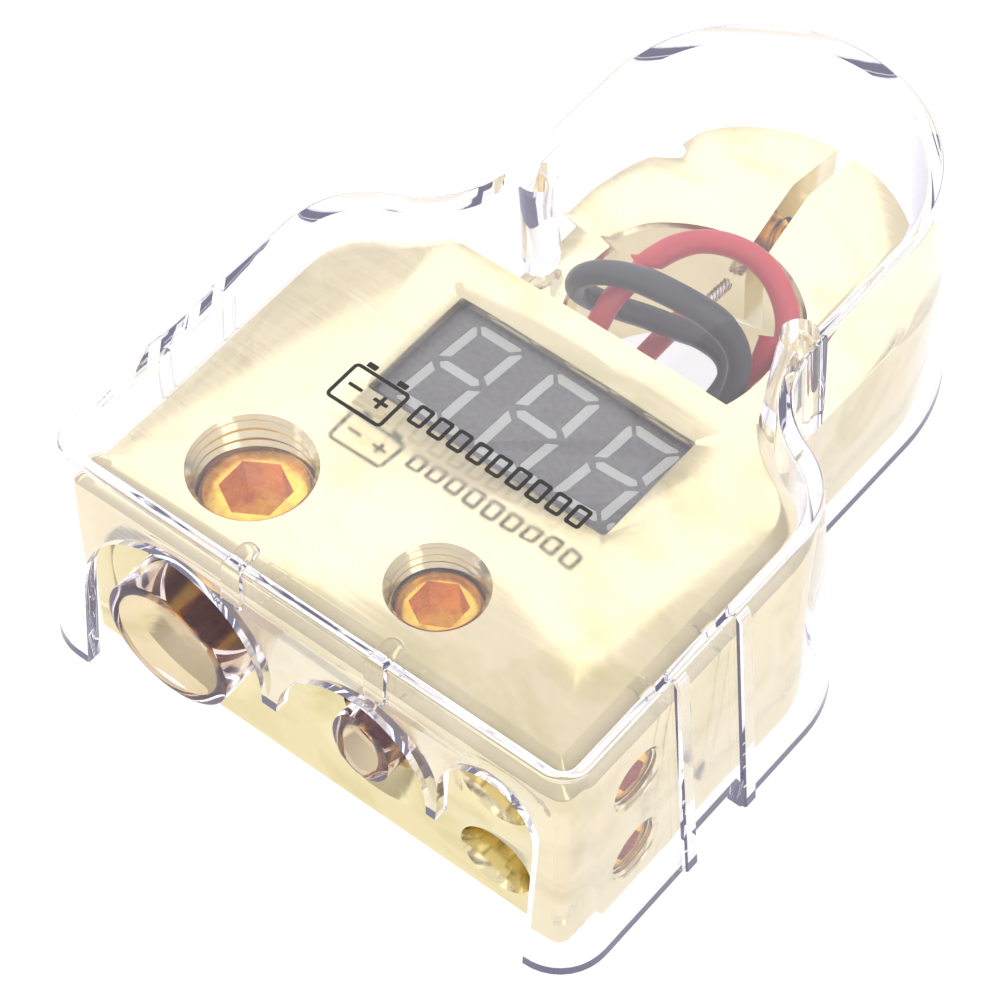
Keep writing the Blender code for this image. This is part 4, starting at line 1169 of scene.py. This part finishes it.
@dataclass
class Electronics:
    """Carried-over parts of the display's case, board and closing plate."""

    finishes: dict[str, Finish] = field(default_factory=lambda: {
        "display_case": CASE, "front_pin_strip": CASE, "rear_pin_strip": CASE, "circuit_board": MASK,
        "controller_chip": CASE, "voltage_regulator": CASE, "input_capacitor": TAN,
        "output_capacitor": TAN, "sense_resistor": CASE, "polarity_diode": CASE,
        "calibration_trimmer": BLUE, "closing_plate": CASE, "left_plate_screw": TINNED,
        "right_plate_screw": TINNED, "red_lead_bush": BUSH, "black_lead_bush": BUSH,
        "red_lead_solder": TINNED, "black_lead_solder": TINNED})

    def build(self) -> None:
        """Give each carried-over node its finish."""
        for name, finish in self.finishes.items():
            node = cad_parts[name]
            node.data.materials.clear()
            node.data.materials.append(finish.material())
            LOG.info("%s: finish %s", name, finish.name)


# ---- leads -----------------------------------------------------------------------------------


@dataclass
class Lead:
    """A stranded lead, stripped and tinned at its free end."""

    colour: str
    finish: Finish
    route: tuple[Point3, ...]
    tip: tuple[Point3, ...]
    radius: float = 1.0
    strand_r: float = 0.16
    strands: int = 6
    lay: float = 2.6

    @staticmethod
    def smoothed(points: Sequence[Point3], spacing: float) -> list[Vector]:
        """Evenly spaced points on one smooth curve through a route.

        Args:
            points: the route.
            spacing: wanted distance between points.

        Returns:
            The points in order.
        """
        dense = []
        ends = [points[0]] + list(points) + [points[-1]]
        for i in range(len(points) - 1):
            a, b, c, d = (Vector(ends[i + k]) for k in range(4))
            for k in range(24):
                t = k / 24
                dense.append(0.5 * ((2 * b) + (c - a) * t + (2 * a - 5 * b + 4 * c - d) * t * t
                                    + (3 * b - a - 3 * c + d) * t ** 3))
        dense.append(Vector(points[-1]))
        length = sum((q - p).length for p, q in zip(dense, dense[1:]))
        count = max(2, round(length / spacing))
        wanted, walked, kept = length / count, 0.0, [dense[0]]
        for p, q in zip(dense, dense[1:]):
            step = (q - p).length
            while len(kept) < count and walked + step >= wanted * len(kept):
                kept.append(p.lerp(q, (wanted * len(kept) - walked) / step))
            walked += step
        kept.append(dense[-1])
        return kept

    @staticmethod
    def tube(points: Sequence[Vector], radius: float, resolution: int) -> BMesh:
        """A round tube along points, with closed ends.

        Args:
            points: its centreline.
            radius: its radius.
            resolution: fineness round it.

        Returns:
            The tube.
        """
        curve = bpy.data.curves.new("scratch", "CURVE")
        curve.dimensions = "3D"
        curve.bevel_depth = radius
        curve.bevel_resolution = resolution
        curve.use_fill_caps = True
        line = curve.splines.new("POLY")
        line.points.add(len(points) - 1)
        for spot, point in zip(line.points, points):
            spot.co = (*point, 1.0)
        holder = bpy.data.objects.new("scratch", curve)
        bpy.context.scene.collection.objects.link(holder)
        bpy.context.view_layer.update()
        shape = holder.evaluated_get(bpy.context.evaluated_depsgraph_get())
        mesh = bpy.data.meshes.new_from_object(shape)
        bm = bmesh.new()
        bm.from_mesh(mesh)
        bpy.data.meshes.remove(mesh)
        bpy.data.objects.remove(holder)
        bpy.data.curves.remove(curve)
        return settle(bm, Matrix.Identity(4))

    def strand(self, centre: Sequence[Vector], index: int) -> list[Vector]:
        """Centreline of one strand, twisted round the tip.

        Args:
            centre: the tip's centreline.
            index: which strand.

        Returns:
            The strand's points.
        """
        points = []
        walked = 0.0
        for i, point in enumerate(centre):
            before, after = centre[max(i - 1, 0)], centre[min(i + 1, len(centre) - 1)]
            along = (after - before).normalized()
            side = along.cross(Vector((0, 0, 1))).normalized()
            up = side.cross(along)
            angle = FULL_TURN * (index / self.strands + walked / self.lay)
            points.append(point + (side * math.cos(angle) + up * math.sin(angle)) * 2 * self.strand_r)
            walked += (after - point).length
        return points

    def build(self) -> None:
        points = self.smoothed(self.route, 0.5)
        name = f"{self.colour}_lead"
        lead = place_piece(f"round_{name}", self.tube(points, self.radius, 10), (self.finish,), "root",
                           (name,), math.radians(60))
        centre = self.smoothed(self.tip, 0.2)
        strands = [self.tube(self.strand(centre, index), self.strand_r, 3) for index in range(self.strands)]
        strands.append(self.tube(centre, self.strand_r, 3))
        tip = place_piece(f"stranded_{name}_tip", joined(strands), (TINNED,), "root",
                          (f"{name}_tip",), math.radians(60))
        place = drawn_to_frame()
        path = [place @ point for point in points]
        length = sum((q - p).length for p, q in zip(path, path[1:]))
        tuple(path[0])
        [tuple(p) for p in path]
        LOG.info("%s is %.1f mm long", name, length / MM)


RED_LEAD = Lead(
    "red", RED,
    ((-3.9, -1.2, 7.6), (-3.9, 3.0, 7.6), (-3.9, 5.2, 7.6), (-3.9, 6.8, 7.7),
     (-4.1, 8.9, 9.0), (-4.2, 9.5, 11.4), (-4.1, 10.1, 13.8), (-4.1, 11.9, 15.3),
     (-3.8, 14.2, 16.0), (-3.2, 16.85, 16.3), (-2.1, 19.0, 16.5), (-0.5, 20.4, 16.5),
     (1.4, 21.15, 16.2), (3.4, 21.3, 15.5), (5.3, 20.7, 14.5), (6.7, 19.6, 13.2),
     (7.5, 17.9, 11.3), (7.7, 16.2, 9.0), (7.3, 14.3, 6.9), (6.3, 12.3, 5.6),
     (4.6, 10.6, 5.0), (2.5, 9.6, 5.0), (0.5, 9.8, 5.6), (-1.0, 11.2, 6.6),
     (-1.6, 13.3, 7.5), (-1.7, 15.8, 7.9), (-1.7, 18.2, 8.0), (-1.8, 20.4, 8.0)),
    ((-1.83, 20.75, 8.0), (-1.9, 22.0, 7.9), (-1.9, 23.6, 7.7)))

BLACK_LEAD = Lead(
    "black", BLACK,
    ((1.5, -1.2, 7.6), (1.5, 3.0, 7.6), (1.5, 5.0, 7.6), (1.6, 6.7, 7.6),
     (2.8, 8.7, 7.7), (4.7, 10.9, 8.0), (6.1, 13.1, 8.8), (6.2, 15.1, 9.8),
     (4.7, 16.2, 10.5), (2.3, 16.4, 10.7), (-0.2, 15.9, 10.7), (-2.8, 15.2, 10.9),
     (-5.0, 14.0, 11.6), (-6.8, 12.4, 13.1), (-7.3, 11.2, 15.1), (-6.6, 10.9, 17.0),
     (-5.0, 11.4, 18.1), (-2.9, 12.2, 18.3), (-0.4, 12.9, 18.0), (1.9, 13.5, 17.5),
     (4.0, 14.1, 16.6), (5.9, 14.4, 15.3), (7.2, 14.3, 13.6), (7.8, 13.6, 11.7),
     (7.8, 12.7, 10.2)),
    ((7.7, 12.35, 9.75), (7.3, 11.7, 8.7), (6.8, 11.1, 7.7)))


# ---- cover -----------------------------------------------------------------------------------


@dataclass
class Cover:
    """Clear one-piece cover: leaning walls, notched front, ribs, beads, pillars and a flat sheet."""

    casting: Casting
    wall: float = 1.3
    sheet: float = 1.5
    air: float = 1.2
    draft: float = 0.0787
    side_air: float = 0.6
    front_air: float = 0.5
    ring_air: float = 0.3
    rim: float = 0.2
    edge: float = 0.4
    tooth_z: float = 10.2
    rib_width: float = 1.4
    rib_proud: float = 0.45
    rib_root: float = 0.6
    ribs: Point2 = (-17.8, -10.5)
    beads: Point2 = (-6.1, 7.3)
    bead_r: float = 0.9
    bead_proud: float = 0.35
    bead_back: float = 2.6
    bead_foot: float = 19.6
    side_cut: float = 3.3
    pillar_r: float = 1.6
    pillar_inset: float = 0.7
    pillar_y: float = 12.9
    notches: tuple[tuple[float, float, float], ...] = ((-12.1, 10.2, 8.8), (5.2, 10.2, 7.1),
                                                       (17.55, 14.3, 4.35))

    @property
    def top(self) -> float:
        """Height of the cover's top face."""
        return self.casting.height + self.air + self.sheet

    def outline(self, z: float, inset: float = 0.0) -> list[Point2]:
        """Outline of the leaning wall at a height.

        Args:
            z: the height.
            inset: how far it is drawn in.

        Returns:
            The outline's points.
        """
        casting = self.casting
        plan = casting.plan
        lean = self.draft * (casting.height - casting.chamfer - z)
        ring_lean = self.draft * (casting.ring_height - casting.ring_fall - z)
        side = self.side_air + self.wall + lean - inset
        return plan.outline(plan.half + side, plan.front + self.front_air + self.wall + lean - inset,
                            plan.ring_half + self.ring_air + self.wall + ring_lean - inset,
                            plan.waist - side, plan.corner + side)

    def shell(self) -> BMesh:
        """Outside of the cover, with a rounded top edge."""
        levels = [(self.outline(self.rim, 0.12), self.rim),
                  (self.outline(self.rim + 0.12), self.rim + 0.12)]
        steps = 6
        for step in range(steps + 1):
            angle = math.pi / 2 * step / steps
            height = self.top - self.edge + self.edge * math.sin(angle)
            levels.append((self.outline(self.top - self.edge, self.edge * (1 - math.cos(angle))), height))
        return stacked(levels)

    def hollow(self) -> BMesh:
        """Inside of the cover, with an eased ceiling."""
        ceiling = self.top - self.sheet
        ease = 0.35
        return stacked([(self.outline(self.rim - 1, self.wall), self.rim - 1),
                        (self.outline(ceiling - ease, self.wall), ceiling - ease),
                        (self.outline(ceiling - ease * 0.3, self.wall + ease * 0.3), ceiling - ease * 0.3),
                        (self.outline(ceiling, self.wall + ease), ceiling)])

    def rib(self, side: int, y: float) -> BMesh:
        """Upright rib on a side wall, leaning with it.

        Args:
            side: -1 for the left wall, 1 for the right.
            y: its middle.

        Returns:
            The rib.
        """
        def plan(z: float, taper: float) -> list[Point2]:
            """Plan of the rib at a height."""
            wall = max(x for x, _ in self.outline(z))
            inner, outer = wall - self.rib_root, wall + self.rib_proud - taper
            half = self.rib_width / 2
            corners = [(inner, y - half), (outer - 0.15, y - half), (outer, y - half + 0.15),
                       (outer, y + half - 0.15), (outer - 0.15, y + half), (inner, y + half)]
            return [(side * px, py) for px, py in corners]
        high, low = self.top - self.edge, self.rim + 0.3
        return stacked([(plan(low, 0), low), (plan(high - 0.5, 0), high - 0.5), (plan(high, 0.3), high)])

    def bead(self, x: float) -> BMesh:
        """Round-ended bead that lies over the front edge.

        Args:
            x: its middle.

        Returns:
            The bead.
        """
        high, radius = self.top + self.bead_proud, self.bead_r
        rear = min(y for _, y in self.outline(self.top)) + self.bead_back - radius

        def plan(z: float, inset: float) -> list[Point2]:
            """Plan of the bead at a height."""
            front = min(y for _, y in self.outline(z)) - self.bead_proud + inset
            r = radius - inset
            return [(x - r, front), (x + r, front)] + arc((x, rear), r, 0, math.pi, 12)
        levels = [(plan(self.bead_foot, 0), self.bead_foot)]
        steps = 5
        for step in range(steps + 1):
            angle = math.pi / 2 * step / steps
            z = high - radius * 0.75 * (1 - math.sin(angle))
            levels.append((plan(high - radius, radius * 0.6 * (1 - math.cos(angle))), z))
        return stacked(levels)

    def arch(self, x: float, z: float, radius: float, front: float, depth: float) -> BMesh:
        """Arched tool body that runs along +Y.

        Args:
            x: its middle.
            z: centre of the round part.
            radius: its radius.
            front: where it starts.
            depth: how far it runs.

        Returns:
            The tool body.
        """
        foot = self.tooth_z - 2
        points = [(x + radius, -foot)] + [(px, -pz) for px, pz in arc((x, z), radius, 0, math.pi, 3)]
        points.append((x - radius, -foot))
        bm = stacked([(points, 0), (points, depth)])
        return settle(bm, Matrix.Translation((0, front, 0)) @ Axis.Y.turn())

    def build(self) -> bpy.types.Object:
        """Work the cover and place it.

        Returns:
            The cover.
        """
        half, ceiling = self.casting.plan.half, self.top - self.sheet
        edge_z = self.casting.ring_height - self.casting.ring_fall
        steps = [(Work.JOIN, self.rib(side, y), 0) for y in self.ribs for side in (-1, 1)]
        steps += [(Work.JOIN, self.bead(x), 0) for x in self.beads]
        steps.append((Work.CUT, self.hollow(), 0))
        for side in (-1, 1):
            x = side * (self.casting.plan.ring_half + self.ring_air - self.draft * (ceiling - edge_z)
                        - self.pillar_inset)
            low = self.casting.ring_height + 0.3
            profile = [(0, 0), (0, self.pillar_r - 0.2), (0.2, self.pillar_r),
                       (ceiling - low + 0.3, self.pillar_r), (ceiling - low + 0.3, 0)]
            steps.append((Work.JOIN, turned(profile, (x, self.pillar_y, low), Axis.Z, 48), 0))
        front, depth = -self.casting.plan.front - 8, 8.0
        for x, z, radius in self.notches:
            steps.append((Work.CUT, self.arch(x, z, radius, front, depth), 0))
        left = self.notches[0][0] - self.notches[0][2]
        right = self.notches[-1][0] + self.notches[-1][2]
        steps.append((Work.CUT, block((left, front, -5), (right, front + depth, self.tooth_z)), 0))
        low_y, high_y = self.ribs[0] + self.rib_width / 2, self.ribs[1] - self.rib_width / 2
        for side in (-1, 1):
            near, far = sorted((side * (half - 2), side * (half + 10)))
            steps.append((Work.CUT, block((near, low_y, -5), (far, high_y, self.rim + self.side_cut)), 0))
        return place_piece("clear_snap_cover", worked(self.shell(), steps), (CLEAR,), "cover",
                           ("clear_cover",))


@dataclass
class CoverMark:
    """Generic printed mark: a small battery sign and a row of gauge blocks."""

    top: float
    ink: float = 0.02
    stroke: float = 0.32
    emblem_low: Point2 = (-11.2, -14.2)
    emblem_high: Point2 = (-5.9, -10.3)
    row_low: Point2 = (-4.9, -12.4)
    row_high: Point2 = (11.6, -10.4)
    blocks: int = 9

    def solid(self, outline: Sequence[Point2]) -> BMesh:
        """Thin ink inside an outline."""
        return stacked([(outline, self.top + 0.004), (outline, self.top + self.ink)])

    def ring(self, low: Point2, high: Point2, radius: float) -> BMesh:
        """Thin ink along the edge of a rounded rectangle."""
        pen = self.stroke
        outer = self.solid(rounded_box(low, high, radius))
        core = rounded_box((low[0] + pen, low[1] + pen), (high[0] - pen, high[1] - pen),
                           max(radius - pen, 0.08))
        hole = stacked([(core, self.top - 0.5), (core, self.top + 0.5)])
        return worked(outer, [(Work.CUT, hole, 0)])

    def bar(self, low: Point2, high: Point2) -> BMesh:
        """A plain bar of ink."""
        return self.solid(rounded_box(low, high, 0.1))

    def build(self) -> bpy.types.Object:
        """Draw the mark on the cover's top.

        Returns:
            The printed mark.
        """
        (x0, y0), (x1, y1) = self.emblem_low, self.emblem_high
        pen = self.stroke
        inks = [self.ring(self.emblem_low, self.emblem_high, 0.5)]
        for x in (x0 + 1.2, x1 - 1.2):
            inks.append(self.bar((x - 0.45, y1 + 0.08), (x + 0.45, y1 + 0.6)))
        middle = (y0 + y1) / 2
        minus_x, plus_x = x0 + 1.45, x1 - 1.45
        inks.append(self.bar((minus_x - 0.65, middle - pen / 2), (minus_x + 0.65, middle + pen / 2)))
        plus = self.bar((plus_x - 0.65, middle - pen / 2), (plus_x + 0.65, middle + pen / 2))
        upright = rounded_box((plus_x - pen / 2, middle - 0.65), (plus_x + pen / 2, middle + 0.65), 0.1)
        upright_body = stacked([(upright, self.top + 0.003), (upright, self.top + self.ink + 0.001)])
        inks.append(worked(plus, [(Work.JOIN, upright_body, 0)]))
        step = (self.row_high[0] - self.row_low[0]) / self.blocks
        for index in range(self.blocks):
            left = self.row_low[0] + index * step
            low, high = (left, self.row_low[1]), (left + step * 0.76, self.row_high[1])
            inks.append(self.ring(low, high, 0.3))
        return place_piece("cover_mark", joined(inks), (INK,), "cover")


# ---- studio ----------------------------------------------------------------------------------


@dataclass
class Lamp:
    """A soft rectangular light."""

    name: str
    place: Point3
    aim: Point3
    size: Point2
    power: float


@dataclass
class Studio:
    """White floor, soft light and the camera."""

    camera_at: Point3 = (0.115816, -0.156405, 0.258785)
    looks_at: Point3 = (0.004151, -0.016933, 0.02166)
    lens: float = 146.5
    floor_half: float = 3.0
    world: float = 1.0
    lamps: tuple[Lamp, ...] = (
        Lamp("rear_softbox", (-0.45, 0.55, 0.75), (0, 0, 0), (0.7, 0.5), 0.9),
        Lamp("left_softbox", (-0.6, -0.45, 0.55), (0, 0, 0), (0.5, 0.6), 0.7),
        Lamp("right_softbox", (0.65, -0.15, 0.5), (0, 0, 0), (0.3, 0.6), 0.5))

    def floor(self) -> None:
        """Lay a plain white floor."""
        bm = bmesh.new()
        bmesh.ops.create_grid(bm, x_segments=1, y_segments=1, size=self.floor_half)
        mesh = bpy.data.meshes.new("studio_floor")
        bm.to_mesh(mesh)
        bm.free()
        graph = Graph("studio_white")
        graph.base((0.45, 0.45, 0.45), 0.9)
        graph.shader.inputs["Emission Color"].default_value = (1, 1, 1, 1)
        graph.shader.inputs["Emission Strength"].default_value = 0.75
        graph.shader.inputs["Specular IOR Level"].default_value = 0.0
        mesh.materials.append(graph.made)
        floor = bpy.data.objects.new("studio_floor", mesh)
        bpy.context.scene.collection.objects.link(floor)

    def sky(self) -> None:
        """Bright surroundings that are a little darker towards the horizon."""
        world = bpy.data.worlds.new("studio")
        world.use_nodes = True
        bpy.context.scene.world = world
        nodes, links = world.node_tree.nodes, world.node_tree.links
        spot = nodes.new("ShaderNodeTexCoord")
        split = nodes.new("ShaderNodeSeparateXYZ")
        ramp = nodes.new("ShaderNodeValToRGB")
        first, last = ramp.color_ramp.elements
        first.position, first.color = 0.0, (0.50, 0.49, 0.50, 1)
        last.position, last.color = 0.85, (1.0, 1.0, 1.0, 1)
        middle = ramp.color_ramp.elements.new(0.45)
        middle.color = (0.86, 0.85, 0.84, 1)
        links.new(spot.outputs["Generated"], split.inputs["Vector"])
        links.new(split.outputs["Z"], ramp.inputs["Fac"])
        links.new(ramp.outputs["Color"], nodes["Background"].inputs["Color"])
        nodes["Background"].inputs["Strength"].default_value = self.world

    def lights(self) -> None:
        """Hang the soft lamps."""
        for lamp in self.lamps:
            light = bpy.data.lights.new(lamp.name, "AREA")
            light.shape = "RECTANGLE"
            light.size, light.size_y = lamp.size
            light.energy = lamp.power
            holder = bpy.data.objects.new(lamp.name, light)
            holder.location = lamp.place
            aim = Vector(lamp.aim) - Vector(lamp.place)
            holder.rotation_euler = aim.to_track_quat("-Z", "Y").to_euler()
            bpy.context.scene.collection.objects.link(holder)

    def camera(self) -> None:
        """Set the camera up, level, on the object's middle."""
        data = bpy.data.cameras.new("camera")
        data.lens = self.lens
        data.sensor_width = 36.0
        data.clip_start = 0.01
        holder = bpy.data.objects.new("camera", data)
        aim = Vector(self.looks_at) - Vector(self.camera_at)
        holder.location = self.camera_at
        holder.rotation_euler = aim.to_track_quat("-Z", "Y").to_euler()
        bpy.context.scene.collection.objects.link(holder)
        bpy.context.scene.camera = holder

    def build(self) -> None:
        """Set the whole studio up."""
        self.camera()
        self.floor()
        self.sky()
        self.lights()
        scene = bpy.context.scene
        scene.view_settings.view_transform = "Standard"
        scene.cycles.max_bounces = 24
        scene.cycles.transmission_bounces = 20
        scene.cycles.glossy_bounces = 8
        scene.cycles.transparent_max_bounces = 24


def main() -> None:
    """Build the clamp piece by piece."""
    logging.basicConfig(level=logging.INFO, format="%(name)s: %(message)s")
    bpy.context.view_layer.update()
    Studio().build()
    casting = Casting()
    casting.build()
    Fasteners(casting).build()
    for sleeve in (Sleeve("large", -12.1, 5.85, 3.1, -26.55), Sleeve("medium", 5.0, 3.7, 1.2, -25.5, 1.0)):
        sleeve.build()
    Display(casting).build()
    Electronics().build()
    for lead in (RED_LEAD, BLACK_LEAD):
        lead.build()
    cover = Cover(casting)
    cover.build()
    CoverMark(cover.top).build()


if __name__ == "__main__":
    main()
